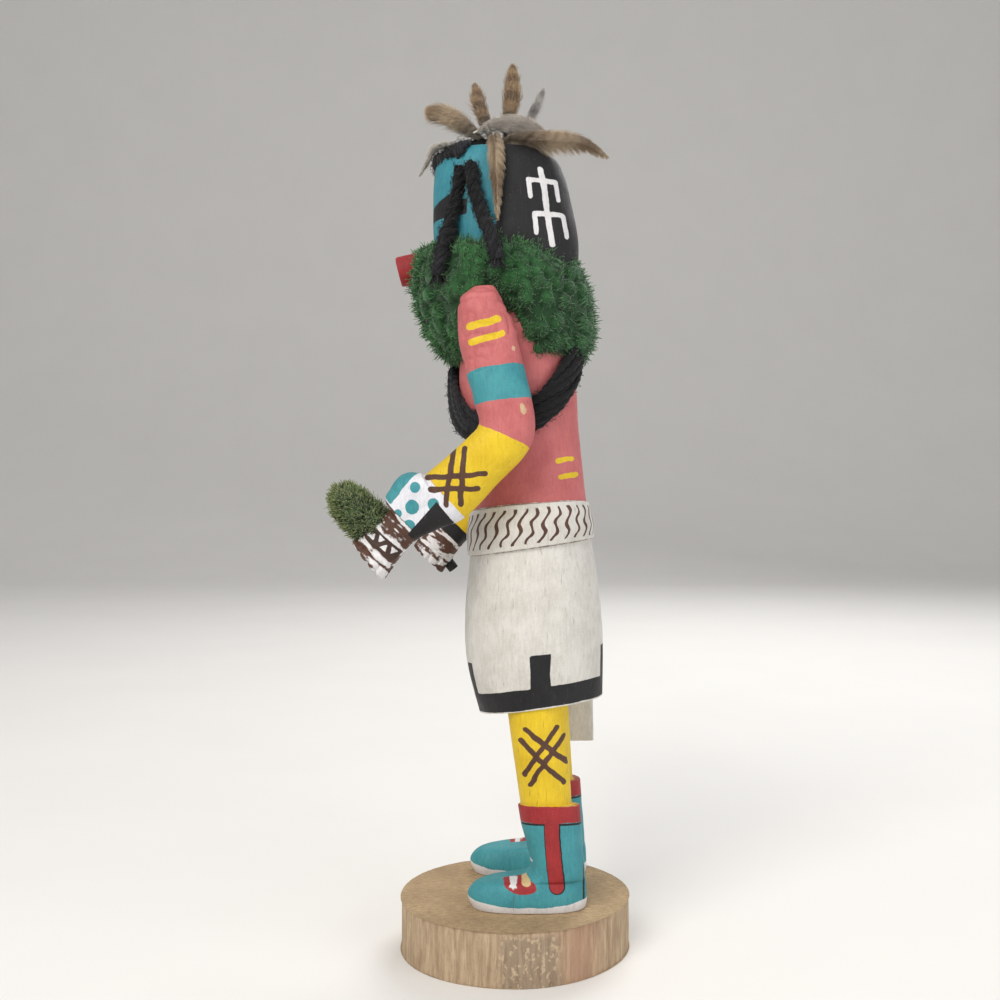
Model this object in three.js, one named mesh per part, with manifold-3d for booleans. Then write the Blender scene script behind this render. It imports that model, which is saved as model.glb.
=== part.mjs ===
// A carved and painted kachina doll on a slice of log, in millimetres, +Z up.
// The doll faces -Y and its left side is towards +X. The origin is the middle of the base's underside.

import * as THREE from 'three';
import Module from 'manifold-3d';

const wasm = await Module();
wasm.setup();

// ---------------------------------------------------------------- driving dimensions

const GAP = 0.3;                 // clearance between two pieces that are glued or tied together

const BASE_LENGTH = 71;          // front to back
const BASE_WIDTH = 64.6;
const BASE_THICKNESS = 16;
const BASE_BEVEL = 0.8;
const DOLL_X = -4;               // the doll stands off the middle of its base
const SOLE_DATUM = 17.5;         // the height of the soles in the figure's own profiles

const FOOT_SPACING = 30;         // from the middle of one leg to the middle of the other
const FOOT_LENGTH = 36.3;
const FOOT_WIDTH = 15.6;
const FOOT_HEIGHT = 8.6;
const HEEL_Y = 21.8;
const RIGHT_FOOT_BACK = 2.3;     // how much further back the right leg stands, on a longer foot
const BOOT_TOP = 48.3;

const HEM_HEIGHT = 76.4;
const BELT_BOTTOM = 125.8;
const BELT_TOP = 138.1;
const SHOULDER_HEIGHT = 199;
const MASK_TOP = 250.4;
const BODY_SIDES = 24;
const LIMB_SIDES = 12;

const SNOUT_DIAMETER = 9.6;
const SNOUT_END = [-37, 213];    // y and z of the middle of its free end
const SNOUT_DROOP = 13 * Math.PI / 180;

const RUFF_MIDDLE_Y = -3.2;
const RUFF_HALF_WIDTH = 28;
const RUFF_HALF_DEPTH = 28.8;
const RUFF_TOP = 219.8;
const RUFF_BOTTOM = 184;          // at the chest and the back
const RUFF_OVER_SHOULDER = 199;

const BANDOLIER_HEIGHT = 185;    // halfway between the shoulder and the other side, where it hangs
const BANDOLIER_RISE = 20;       // how far the shoulder is over that, and the other side under it
const BANDOLIER_LEAN = 11;       // how far the back is over that, and the front under it
const LOCK_DIAMETER = 4.4;

// ---------------------------------------------------------------- lofts and solids

const signedPower = (value, power) => Math.sign(value) * Math.abs(value) ** power;

/**
 * A cut across a carved form, between its front and its back profile. It rises by slope towards the
 * back, and by cant towards the doll's left.
 */
function cutAcross(height, front, back, width, { slope = 0, cant = 0, squareness = 2.3 } = {}) {
  const rise = slope * (back - front) / 2;
  return {
    frontY: front, frontZ: height - rise, backY: back, backZ: height + rise, x: 0, width, cant, squareness,
  };
}

/** A cut across a limb, from a point of its front outline to the matching one of its back outline. */
function limbCut([frontY, frontZ], [backY, backZ], x, width, squareness = 2.5) {
  return { frontY, frontZ, backY, backZ, x, width, cant: 0, squareness };
}

/** The cuts with smooth ones put between them. */
function smoothCuts(cuts, steps) {
  const at = (i) => cuts[THREE.MathUtils.clamp(i, 0, cuts.length - 1)];
  const result = [];
  for (let i = 0; i < cuts.length - 1; i++) {
    for (let step = 0; step < steps; step++) {
      const cut = {};
      for (const key of Object.keys(cuts[0])) {
        cut[key] = catmullRom(step / steps, at(i - 1)[key], at(i)[key], at(i + 1)[key], at(i + 2)[key]);
      }
      result.push(cut);
    }
  }
  result.push(cuts.at(-1));
  return result;
}

function catmullRom(t, before, from, to, after) {
  const leaving = (to - before) / 2;
  const arriving = (after - from) / 2;
  const cubic = 2 * (from - to) + leaving + arriving;
  const square = 3 * (to - from) - 2 * leaving - arriving;
  return ((cubic * t + square) * t + leaving) * t + from;
}

/** The outline of one cut, pushed out all round by grow. */
function outlineOf(cut, sides, grow) {
  const middle = new THREE.Vector3(cut.x, (cut.frontY + cut.backY) / 2, (cut.frontZ + cut.backZ) / 2);
  const across = new THREE.Vector3(cut.width / 2 + grow, 0, cut.cant * cut.width / 2);
  const along = new THREE.Vector3(0, cut.backY - cut.frontY, cut.backZ - cut.frontZ).divideScalar(2);
  along.setLength(along.length() + grow);
  return ellipseRing(middle, across, along, sides, cut.squareness);
}

/** A ring of points round middle, reaching across and along from it. */
function ellipseRing(middle, across, along, sides, squareness = 2) {
  const ring = [];
  for (let i = 0; i < sides; i++) {
    const angle = 2 * Math.PI * (i + 0.5) / sides;
    ring.push(middle.clone()
      .addScaledVector(across, signedPower(Math.cos(angle), 2 / squareness))
      .addScaledVector(along, signedPower(Math.sin(angle), 2 / squareness)));
  }
  return ring;
}

const middleOf = (ring) => ring
  .reduce((sum, point) => sum.add(point), new THREE.Vector3())
  .divideScalar(ring.length);

/** A closed solid through rings of equal point counts: capped at both ends, or joined into a loop. */
function solidThrough(rings, loop = false) {
  const sides = rings[0].length;
  const points = rings.flat();
  const faces = [];
  const spans = loop ? rings.length : rings.length - 1;
  for (let r = 0; r < spans; r++) {
    const near = r * sides;
    const far = ((r + 1) % rings.length) * sides;
    for (let i = 0; i < sides; i++) {
      const j = (i + 1) % sides;
      faces.push([near + i, near + j, far + j], [near + i, far + j, far + i]);
    }
  }
  if (!loop) {
    const last = (rings.length - 1) * sides;
    points.push(middleOf(rings[0]), middleOf(rings.at(-1)));
    for (let i = 0; i < sides; i++) {
      const j = (i + 1) % sides;
      faces.push([points.length - 2, j, i], [points.length - 1, last + i, last + j]);
    }
  }
  const spanned = ([a, b, c]) => points[a].dot(points[b].clone().cross(points[c]));
  const volume = faces.reduce((sum, face) => sum + spanned(face), 0);
  const outward = volume > 0 ? faces : faces.map(([a, b, c]) => [a, c, b]);
  return new wasm.Manifold(new wasm.Mesh({
    numProp: 3,
    vertProperties: new Float32Array(points.flatMap((point) => point.toArray())),
    triVerts: new Uint32Array(outward.flat()),
  }));
}

/** A carved form through cuts, pushed out on all sides by grow. */
function carvedForm(cuts, { steps = 2, sides = BODY_SIDES, grow = 0 } = {}) {
  const rings = smoothCuts(cuts, steps).map((cut) => outlineOf(cut, sides, grow));
  for (const [end, next] of [[rings[0], rings[1]], [rings.at(-1), rings.at(-2)]]) {
    const outward = middleOf(end).sub(middleOf(next)).setLength(grow);
    end.forEach((point) => point.add(outward));
  }
  return solidThrough(rings);
}

/** A tube along a smooth curve, whose radius is given by radiusAt(t), with t from 0 to 1. */
function tubeAlong(points, radiusAt, { steps, sides = 8, flatness = 1, grow = 0, flatTowards = null }) {
  const curve = new THREE.CatmullRomCurve3(points.map((point) => new THREE.Vector3(...point)));
  const rings = [];
  for (let i = 0; i <= steps; i++) {
    const t = i / steps;
    const tangent = curve.getTangent(t);
    const side = new THREE.Vector3(...(flatTowards ?? [1, 0, 0]));
    side.addScaledVector(tangent, -side.dot(tangent)).normalize();
    const along = tangent.clone().cross(side).setLength(radiusAt(t) + grow);
    const ends = i === 0 ? -grow : (i === steps ? grow : 0);
    const middle = curve.getPoint(t).addScaledVector(tangent, ends);
    rings.push(ellipseRing(middle, side.multiplyScalar(radiusAt(t) * flatness + grow), along, sides));
  }
  return solidThrough(rings);
}

const unionOf = (solids) => solids.reduce((whole, solid) => whole.add(solid));

/** The solid without what the others take up. */
const without = (solid, others) => others.reduce((rest, other) => rest.subtract(other), solid);

/** The largest single body of a solid, so that a cut leaves no loose crumbs. */
function largestBody(solid) {
  return solid.decompose().reduce((best, piece) => (piece.volume() > best.volume() ? piece : best));
}

// ---------------------------------------------------------------- the base

/** A slice of a round log, sawn flat, with a slightly uneven bark line. */
function logSlice() {
  const unevenness = (angle) => 1 + 0.02 * Math.cos(2 * angle + 2.09) + 0.004 * Math.sin(5 * angle);
  const ring = (inset, height) => {
    const points = [];
    const sides = 40;
    for (let i = 0; i < sides; i++) {
      const angle = 2 * Math.PI * i / sides;
      points.push(new THREE.Vector3(
        (BASE_WIDTH / 2 - inset) * unevenness(angle) * Math.cos(angle),
        (BASE_LENGTH / 2 - inset) * unevenness(angle) * Math.sin(angle),
        height,
      ));
    }
    return points;
  };
  return solidThrough([
    ring(BASE_BEVEL, 0),
    ring(0, BASE_BEVEL),
    ring(0, BASE_THICKNESS - BASE_BEVEL / 2),
    ring(BASE_BEVEL / 2, BASE_THICKNESS),
  ]);
}

// ---------------------------------------------------------------- the carved body

const SOLE_BOTTOM = SOLE_DATUM + GAP;

/** One leg in its boot: the calf, the boot's shaft and its foot. */
function bootedLeg(side, grow) {
  const back = side < 0 ? RIGHT_FOOT_BACK : 0;
  const heel = HEEL_Y + back;
  const toe = HEEL_Y - FOOT_LENGTH;
  const footCut = (rise, toeBack, heelIn, narrower) => cutAcross(
    SOLE_BOTTOM + rise * FOOT_HEIGHT, toe + toeBack, heel - heelIn, FOOT_WIDTH - narrower,
    { squareness: 2.4 },
  );
  const foot = [
    footCut(0, 1.5, 0.5, 1.2),
    footCut(0.25, 0.3, 0, 0),
    footCut(0.5, 0, 0.1, 0.2),
    footCut(0.76, 1.6, 0.2, 1),
    footCut(0.92, 4.4, 0.3, 2.4),
    footCut(1, 8.5, 0.6, 5),
  ];
  const shaftCut = (height, front, heelIn, width, cant = 0) => cutAcross(
    height, front + back, heel - heelIn, width, { cant, squareness: 2.5 },
  );
  const shaft = [
    shaftCut(SOLE_BOTTOM + 1, 3.4, 0.1, FOOT_WIDTH - 0.8),
    shaftCut(SOLE_BOTTOM + FOOT_HEIGHT + 3, 4.8, 0.8, FOOT_WIDTH - 0.4),
    shaftCut(BOOT_TOP - 6, 1.8, 1.8, 17.4, side > 0 ? 0.12 : 0.06),
    shaftCut(BOOT_TOP, 0.8, 2.2, 18, side > 0 ? 0.19 : 0.1),
  ];
  const calf = [
    cutAcross(BOOT_TOP - 4, 1.8 + back, 17.2 + back, 15.4),
    cutAcross(BOOT_TOP + 10, 0.2 + back, 16.5 + back, 16.2),
    cutAcross(HEM_HEIGHT + 6, -3.2 + back, 15 + back, 17.6),
  ];
  const forms = [foot, shaft, calf].map((cuts) => carvedForm(cuts, { steps: 1, sides: LIMB_SIDES, grow }));
  return unionOf(forms).translate([side * FOOT_SPACING / 2, 0, 0]);
}

const KILT_CUTS = [
  cutAcross(HEM_HEIGHT, -11.1, 27.7, 49, { slope: 0.146, cant: 0.11 }),
  cutAcross(92.9, -15.2, 27.8, 52, { slope: 0.14, cant: 0.08 }),
  cutAcross(108.8, -15.6, 26.6, 51, { slope: 0.14, cant: 0.05 }),
  cutAcross(BELT_BOTTOM + 1, -14.1, 24.2, 48, { slope: 0.145, cant: 0.04 }),
];

const BELT_CUTS = [
  cutAcross(BELT_BOTTOM, -14.9, 25, 50, { slope: 0.145, cant: 0.04 }),
  cutAcross((BELT_BOTTOM + BELT_TOP) / 2, -15.3, 25, 50.6, { slope: 0.115, cant: 0.06 }),
  cutAcross(BELT_TOP, -14.2, 23.4, 48.6, { slope: 0.083, cant: 0.08 }),
];

const TORSO_CUTS = [
  cutAcross(BELT_TOP - 3, -13.6, 23, 46, { slope: 0.083 }),
  cutAcross(147, -14.2, 21.8, 40, { slope: 0.04 }),
  cutAcross(163, -15.9, 20.3, 37),
  cutAcross(180, -17.6, 19.3, 39.5),
  cutAcross(SHOULDER_HEIGHT - 4, -15.4, 17.4, 41, { squareness: 2.6 }),
  cutAcross(SHOULDER_HEIGHT + 4, -12, 14, 34),
  cutAcross(SHOULDER_HEIGHT + 9, -10, 12, 28),
];

const MASK_CUTS = [
  cutAcross(206, -22, 16.5, 36),
  cutAcross(211, -24.6, 19.6, 42),
  cutAcross(222, -25.6, 20.2, 43.5),
  cutAcross(234, -25.8, 18, 42.5),
  cutAcross(MASK_TOP - 7.2, -25.4, 15.6, 40),
  cutAcross(MASK_TOP - 2.8, -24, 13, 36),
  cutAcross(MASK_TOP - 0.7, -20, 9, 28),
  cutAcross(MASK_TOP, -10, 0, 10),
];

/** The end of the sash, which hangs below the hem at the doll's right hip. */
function sashEnd(grow) {
  const cuts = [
    limbCut([7, 58.6], [27.2, 58.6], -24.2, 2.6, 6),
    limbCut([6.2, 80], [26.6, 80], -22.6, 3, 6),
  ];
  return carvedForm(cuts, { steps: 2, sides: 20, grow });
}

/** The whole figure carved from one piece: mask, torso, belt, kilt, sash end, legs and boots. */
function carvedBody(grow = 0) {
  const trunk = [KILT_CUTS, BELT_CUTS, TORSO_CUTS].map((cuts) => carvedForm(cuts, { grow }));
  const mask = carvedForm(MASK_CUTS, { steps: 1, grow });
  return unionOf([...trunk, mask, sashEnd(grow), bootedLeg(1, grow), bootedLeg(-1, grow)]);
}

// ---------------------------------------------------------------- arms

/** The cuts from the tip of a shoulder down to the armband, for the arm on one side. */
const shoulderCuts = (side) => [
  limbCut([-12.2, 203.8], [-6.6, 204], side * 25.6, 6),
  limbCut([-16.3, 200.4], [-3.9, 200.2], side * 26, 12.4),
  limbCut([-16.7, 191], [-0.3, 191], side * 27, 13.8),
];

const LEFT_ARM = [
  ...shoulderCuts(1),
  limbCut([-15.2, 180.8], [2.1, 181.2], 28.4, 14.2),
  limbCut([-12.2, 169.6], [4.5, 171.2], 30, 14.4),
  limbCut([-10.8, 163.4], [5.5, 161.4], 30.8, 14.6),
  limbCut([-14, 159.4], [2.6, 154.2], 31, 14.6),
  limbCut([-20.6, 153.4], [-5.4, 145.8], 30.2, 14.4),
  limbCut([-26.8, 148.2], [-14.8, 136], 29, 13.8),
  limbCut([-32.4, 143], [-23.2, 132.4], 28.6, 13.2),
  limbCut([-39.4, 135.6], [-30.6, 128.2], 28, 13.4),
  limbCut([-47.8, 128.9], [-38.8, 117.6], 27.4, 14),
];

const WRIST_GUARD = [
  limbCut([-27.6, 149.2], [-21, 139], 28.6, 15.6),
  limbCut([-33.8, 148.4], [-26.6, 135], 28.4, 15.2),
  limbCut([-38, 141.6], [-32, 131.6], 28, 14.8),
];

const RIGHT_ARM = [
  ...shoulderCuts(-1),
  limbCut([-14.4, 179.8], [3, 180.2], -28, 14.2),
  limbCut([-11, 166.4], [5.8, 167.4], -29, 14.4),
  limbCut([-8.8, 157.6], [7, 154.4], -29.4, 14.6),
  limbCut([-11.4, 152.4], [4.2, 146], -29.2, 14.6),
  limbCut([-16.6, 145.8], [-3, 137], -28.6, 14.2),
  limbCut([-22.4, 139.4], [-12.4, 129.4], -28, 13.6),
  limbCut([-26.8, 134.4], [-17.4, 125], -27.6, 13.2),
  limbCut([-34.4, 124.6], [-24.6, 115.2], -27, 13.6),
];

const STICK_DIAMETER = 3.6;
const STICK_ENDS = [[-27, -31.4, 131.2], [-27, -20.4, 116.4]];

/** The short black stick through the right fist. */
function heldStick(grow = 0) {
  return tubeAlong(STICK_ENDS, () => STICK_DIAMETER / 2, { steps: 2, sides: 12, grow });
}

/** An arm and its hand, carved together. */
const carvedArm = (cuts, grow = 0) => carvedForm(cuts, { steps: 2, sides: LIMB_SIDES, grow });

/** The left arm with the guard that it wears on its wrist. */
const guardedArm = (grow = 0) => carvedArm(LEFT_ARM, grow)
  .add(carvedForm(WRIST_GUARD, { steps: 1, sides: LIMB_SIDES, grow }));

// ---------------------------------------------------------------- snout and yarn

/** The red wooden tube of the mask's mouth. */
function snoutTube(grow = 0) {
  const [endY, endZ] = SNOUT_END;
  const length = 24;
  const start = [0, endY + length * Math.cos(SNOUT_DROOP), endZ + length * Math.sin(SNOUT_DROOP)];
  return tubeAlong([start, [0, endY, endZ]], () => SNOUT_DIAMETER / 2, { steps: 1, sides: 20, grow });
}

/** The collar of looped yarn: a ring whose front and back hang down over the chest and the back. */
function yarnRuff() {
  const turns = 26;
  const rings = [];
  for (let i = 0; i < turns; i++) {
    const angle = 2 * Math.PI * i / turns;
    const hanging = THREE.MathUtils.smoothstep(Math.abs(Math.sin(angle)), 0.08, 0.45);
    const outward = new THREE.Vector3(Math.cos(angle), Math.sin(angle), 0);
    const reach = (RUFF_HALF_WIDTH * RUFF_HALF_DEPTH)
      / Math.hypot(RUFF_HALF_DEPTH * outward.x, RUFF_HALF_WIDTH * outward.y);
    const lump = 0.7 * Math.sin(7 * angle) + 0.5 * Math.cos(11 * angle);
    const halfWidth = 9.5 + lump / 2;
    const top = RUFF_TOP + lump / 2;
    const bottom = THREE.MathUtils.lerp(RUFF_OVER_SHOULDER, RUFF_BOTTOM, hanging) - lump;
    const middle = outward.clone().multiplyScalar(reach + lump / 2 - halfWidth);
    middle.add(new THREE.Vector3(0, RUFF_MIDDLE_Y, (top + bottom) / 2));
    const upward = new THREE.Vector3(0, 0, (top - bottom) / 2);
    upward.addScaledVector(outward, THREE.MathUtils.lerp(5.5, -3.5, (outward.y + 1) / 2));
    rings.push(ellipseRing(middle, outward.multiplyScalar(halfWidth), upward, 9, 2.1));
  }
  return solidThrough(rings, true);
}

/** The half width and half depth of the torso, and its middle, at a height. */
function torsoAt(height) {
  const cuts = smoothCuts(TORSO_CUTS, 6);
  const near = (cut) => Math.abs((cut.frontZ + cut.backZ) / 2 - height);
  const cut = cuts.reduce((best, other) => (near(other) < near(best) ? other : best));
  return {
    halfWidth: cut.width / 2,
    halfDepth: (cut.backY - cut.frontY) / 2,
    y: (cut.frontY + cut.backY) / 2,
  };
}

/** The hank of black yarn worn over the right shoulder and under the left arm. */
function bandolierLoop(grow = 0) {
  const thickness = 4.4;
  const breadth = 9.4;
  const turns = 32;
  const middles = [];
  for (let i = 0; i < turns; i++) {
    const angle = 2 * Math.PI * i / turns;
    const height = BANDOLIER_HEIGHT
      - BANDOLIER_RISE * Math.cos(angle) + BANDOLIER_LEAN * Math.sin(angle);
    const torso = torsoAt(height);
    const stand = thickness * 0.42;
    middles.push(new THREE.Vector3(
      (torso.halfWidth + stand) * signedPower(Math.cos(angle), 0.87),
      torso.y + (torso.halfDepth + stand) * signedPower(Math.sin(angle), 0.87),
      height,
    ));
  }
  const rings = middles.map((middle, i) => {
    const tangent = middles[(i + 1) % turns].clone().sub(middles.at(i - 1)).normalize();
    const outward = new THREE.Vector3(middle.x, middle.y - torsoAt(middle.z).y, 0);
    outward.addScaledVector(tangent, -outward.dot(tangent)).normalize();
    const along = tangent.clone().cross(outward).multiplyScalar(breadth / 2 + grow);
    return ellipseRing(middle, outward.multiplyScalar(thickness / 2 + grow), along, 7);
  });
  return solidThrough(rings, true);
}

/** One lock of yarn, from the top of the mask down over the ruff. */
function yarnLock(side, route, grow = 0) {
  const points = route.map(([x, y, z]) => [side * x, y, z]);
  return tubeAlong(points, () => LOCK_DIAMETER / 2, { steps: 10, grow });
}

const FRONT_LOCK = [
  [18, -16.2, 241], [18.6, -17.4, 233], [19.4, -19.4, 225], [21.6, -21.6, 217], [22, -23.6, 208],
];
const REAR_LOCK = [
  [20.2, -13.4, 242], [22.4, -12.2, 234], [24.6, -9.8, 225.6], [29, -7.4, 219], [31, -5.6, 211],
];

/** The band of knotted yarn across the top of the face. */
function yarnFringe(grow = 0) {
  const rings = [];
  const steps = 14;
  for (let i = 0; i <= steps; i++) {
    const angle = THREE.MathUtils.lerp(-1.05, 1.05, i / steps);
    const outward = new THREE.Vector3(Math.sin(angle), -Math.cos(angle), 0);
    const radius = 3.4 + 0.3 * Math.cos(i * Math.PI) + grow;
    const middle = new THREE.Vector3(19 * Math.sin(angle), -7 - 15.8 * Math.cos(angle), 246.8);
    rings.push(ellipseRing(middle, outward.multiplyScalar(radius), new THREE.Vector3(0, 0, radius), 8));
  }
  return solidThrough(rings);
}

/** The sprig of green yarn held in the left hand. */
function yarnSprig() {
  const points = [[27.6, -40, 131.6], [27.8, -44, 135.4], [28, -48.6, 139.8], [28, -52, 143.6]];
  const radiusAt = (t) => 3.9 + 3.6 * Math.sin(Math.PI * (0.25 + 0.62 * t)) - 1.2 * t;
  return tubeAlong(points, radiusAt, { steps: 6, sides: 12, flatness: 0.8 });
}

// ---------------------------------------------------------------- feathers

/** The knot that ties the feathers to the crown. */
function quillKnot(grow = 0) {
  const points = [[0, -16, 251], [0, -12, 252.4], [0, -8, 253], [0, -3.6, 252.6], [0, 0, 251.4]];
  return tubeAlong(points, (t) => 1.6 + 2.2 * Math.sin(Math.PI * t), { steps: 6, sides: 8, grow });
}

/** A plume: a flat, curved leaf along its quill, widest at a given part of its length. */
function plume(
  { quill, width, thickness = 3, widest = 0.55, tip = 0.8, flatTowards = [1, 0, 0] },
  grow = 0,
) {
  const radiusAt = (t) => {
    const swell = t < widest
      ? Math.sin(Math.PI / 2 * t / widest)
      : Math.cos(Math.PI / 2 * (t - widest) / (1 - widest));
    return tip + (width / 2 - tip) * Math.max(swell, 0);
  };
  return tubeAlong(quill, radiusAt, { steps: 7, sides: 8, flatness: thickness / width, flatTowards, grow });
}

// Each plume is cut away where one listed before it lies.
const PLUMES = {
  plume_upright: {
    quill: [[0, -3, 253], [0.4, -2, 260], [0.2, -1, 269], [0, -0.6, 279.5]],
    width: 15, thickness: 5,
  },
  plume_front: {
    quill: [[1, -9, 254], [2, -14, 258], [2.4, -20, 262], [2, -27.8, 264.4]],
    width: 16, thickness: 5,
  },
  plume_crest: {
    quill: [[-1, -7, 254], [-1, -9, 260], [-1, -11, 266], [-1, -12.6, 274]],
    width: 12, thickness: 5,
  },
  plume_rear: {
    quill: [
      [4, -5, 252.6], [12, 0, 251.6], [15, 6, 250.8], [12, 14, 251.8], [6, 22, 252.2], [1, 29, 249.8],
    ],
    width: 12, thickness: 5, widest: 0.4, flatTowards: [0.85, 0, 0.5],
  },
  plume_hanging: {
    quill: [[5, -6, 253.6], [13, -6.4, 252.4], [20.2, -6, 247], [22.8, -5.6, 238], [23.6, -5.4, 225]],
    width: 7.6, flatTowards: [1, 0, 0.3],
  },
  feather_grey: { quill: [[2, -1, 254], [3, 3, 258], [3.4, 6, 263.4], [3.2, 8.8, 270.4]], width: 9 },
  feather_white: {
    quill: [[-1, -13, 252], [-1.6, -18, 253.8], [-2, -24.6, 253], [-2, -30.4, 244.6]],
    width: 7,
  },
  down_tuft: {
    quill: [[5.6, -13, 255.6], [6.4, -6, 258.4], [6.6, 1, 258.6], [6, 8.4, 256.6]],
    width: 11, thickness: 6,
  },
};

// ---------------------------------------------------------------- assembly

const COLOURS = {
  wood: 0xa58c69, body: 0xcd7378, skin: 0xc86e74, red: 0xa03032, green: 0x2d5f37, black: 0x1c1a1c,
  stick: 0x141414, tan: 0x967d5f, grey: 0x82786e, white: 0xc8c3b9,
};

/** A named mesh of one piece, with its own material. */
function piece(name, solid, colour, roughness = 0.8) {
  const { vertProperties, triVerts } = largestBody(solid).getMesh();
  const geometry = new THREE.BufferGeometry();
  geometry.setAttribute('position', new THREE.BufferAttribute(new Float32Array(vertProperties), 3));
  geometry.setIndex(new THREE.BufferAttribute(new Uint32Array(triVerts), 1));
  geometry.computeVertexNormals();
  const material = new THREE.MeshStandardMaterial({ color: colour, roughness, metalness: 0 });
  const mesh = new THREE.Mesh(geometry, material);
  mesh.name = name;
  return mesh;
}

const grownBody = carvedBody(GAP);
const grownArms = [guardedArm(GAP), carvedArm(RIGHT_ARM, GAP)];
const locks = { front: FRONT_LOCK, rear: REAR_LOCK };
const sides = { left: 1, right: -1 };

const doll = new THREE.Group();
doll.position.set(DOLL_X, 0, BASE_THICKNESS - SOLE_DATUM);
doll.add(piece('body', carvedBody(), COLOURS.body, 0.75));

const leftArm = without(guardedArm(), [grownBody]);
const rightArm = without(carvedArm(RIGHT_ARM), [grownBody, heldStick(GAP)]);
doll.add(piece('arm_left', leftArm, COLOURS.skin));
doll.add(piece('arm_right', rightArm, COLOURS.skin));
doll.add(piece('rattle_stick', heldStick(), COLOURS.stick, 0.6));
doll.add(piece('snout', without(snoutTube(), [grownBody]), COLOURS.red, 0.6));
doll.add(piece('fringe', without(yarnFringe(), [grownBody]), COLOURS.black, 1));

const grownLocks = [];
for (const [sideName, side] of Object.entries(sides)) {
  for (const [placeName, route] of Object.entries(locks)) {
    const lock = without(yarnLock(side, route), [grownBody, yarnFringe(GAP), ...grownLocks]);
    grownLocks.push(yarnLock(side, route, GAP));
    doll.add(piece(`lock_${sideName}_${placeName}`, lock, COLOURS.black, 1));
  }
}

const underRuff = [grownBody, snoutTube(GAP), bandolierLoop(GAP), ...grownArms, ...grownLocks];
doll.add(piece('ruff', without(yarnRuff(), underRuff), COLOURS.green, 1));
doll.add(piece('evergreen', without(yarnSprig(), [grownArms[0]]), COLOURS.green, 1));
doll.add(piece('bandolier', without(bandolierLoop(), [grownBody, ...grownArms]), COLOURS.black, 1));
doll.add(piece('quill_knot', without(quillKnot(), [grownBody]), COLOURS.grey, 1));
const laidPlumes = [];
for (const [name, shape] of Object.entries(PLUMES)) {
  const feather = without(plume(shape), [grownBody, quillKnot(GAP), yarnFringe(GAP), ...laidPlumes]);
  laidPlumes.push(plume(shape, GAP));
  doll.add(piece(name, feather, name.includes('plume') ? COLOURS.tan : COLOURS.white, 1));
}

const group = new THREE.Group();
group.add(piece('base', logSlice(), COLOURS.wood, 0.9), doll);

export default group;
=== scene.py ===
"""The looks of a carved and painted kachina doll on a slice of log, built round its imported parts.

The figure is drawn in its own millimetres: it faces -Y, its left side is towards +X, its middle is
at x = 0 and its soles are at z = 17.5. A piece's points are turned into the part's frame, in metres,
when they are written to its mesh.
"""

import logging
import math
from dataclasses import dataclass, field
from enum import Enum
from typing import Callable, Dict, List, Optional, Sequence, Tuple

import bmesh
import bpy
import numpy as np
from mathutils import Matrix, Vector, kdtree

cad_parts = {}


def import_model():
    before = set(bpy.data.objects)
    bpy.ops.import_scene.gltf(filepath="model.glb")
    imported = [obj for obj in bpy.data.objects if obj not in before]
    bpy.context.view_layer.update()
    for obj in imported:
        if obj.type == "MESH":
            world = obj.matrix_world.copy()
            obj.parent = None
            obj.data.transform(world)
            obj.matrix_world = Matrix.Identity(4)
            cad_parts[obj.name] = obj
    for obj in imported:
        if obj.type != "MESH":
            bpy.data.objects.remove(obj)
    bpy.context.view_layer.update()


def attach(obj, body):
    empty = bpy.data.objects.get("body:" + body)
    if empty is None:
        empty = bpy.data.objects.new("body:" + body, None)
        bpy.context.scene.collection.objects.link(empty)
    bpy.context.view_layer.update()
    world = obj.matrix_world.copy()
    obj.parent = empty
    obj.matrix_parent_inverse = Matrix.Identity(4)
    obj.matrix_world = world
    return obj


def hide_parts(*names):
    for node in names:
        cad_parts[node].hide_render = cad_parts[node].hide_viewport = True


MM = 0.001
FIGURE_SHIFT = np.array([-4.0, 0.0, -1.5])  # from the figure's own frame to the part's, in mm
SOLE = 17.5
BOOT_TOP = 48.3
HEM = 76.4
BELT_BOTTOM = 125.8
BELT_TOP = 138.1
SEED = 7

log = logging.getLogger("doll")

Array = np.ndarray
Colour = Tuple[float, float, float]
Point = Tuple[float, float, float]


def rgb(red: float, green: float, blue: float) -> Colour:
    """Turns screen values from 0 to 255 into the linear colour that a shader takes.

    Args:
        red: The red value.
        green: The green value.
        blue: The blue value.

    Returns:
        The linear colour.
    """
    return tuple(((v / 255 + 0.055) / 1.055) ** 2.4 if v > 10 else v / 255 / 12.92 for v in (red, green, blue))


class Slot(Enum):
    """Names for the kinds of material that the doll's pieces are made of."""

    LOG = "log_wood"
    BODY = "painted_body"
    ARM = "painted_arm"
    SNOUT = "painted_snout"
    STICK = "painted_stick"
    GREEN_YARN = "green_yarn"
    BLACK_YARN = "black_yarn"
    TAN_FEATHER = "tan_feather"
    PALE_FEATHER = "pale_feather"


# ---------------------------------------------------------------- points, noise and curves


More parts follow.
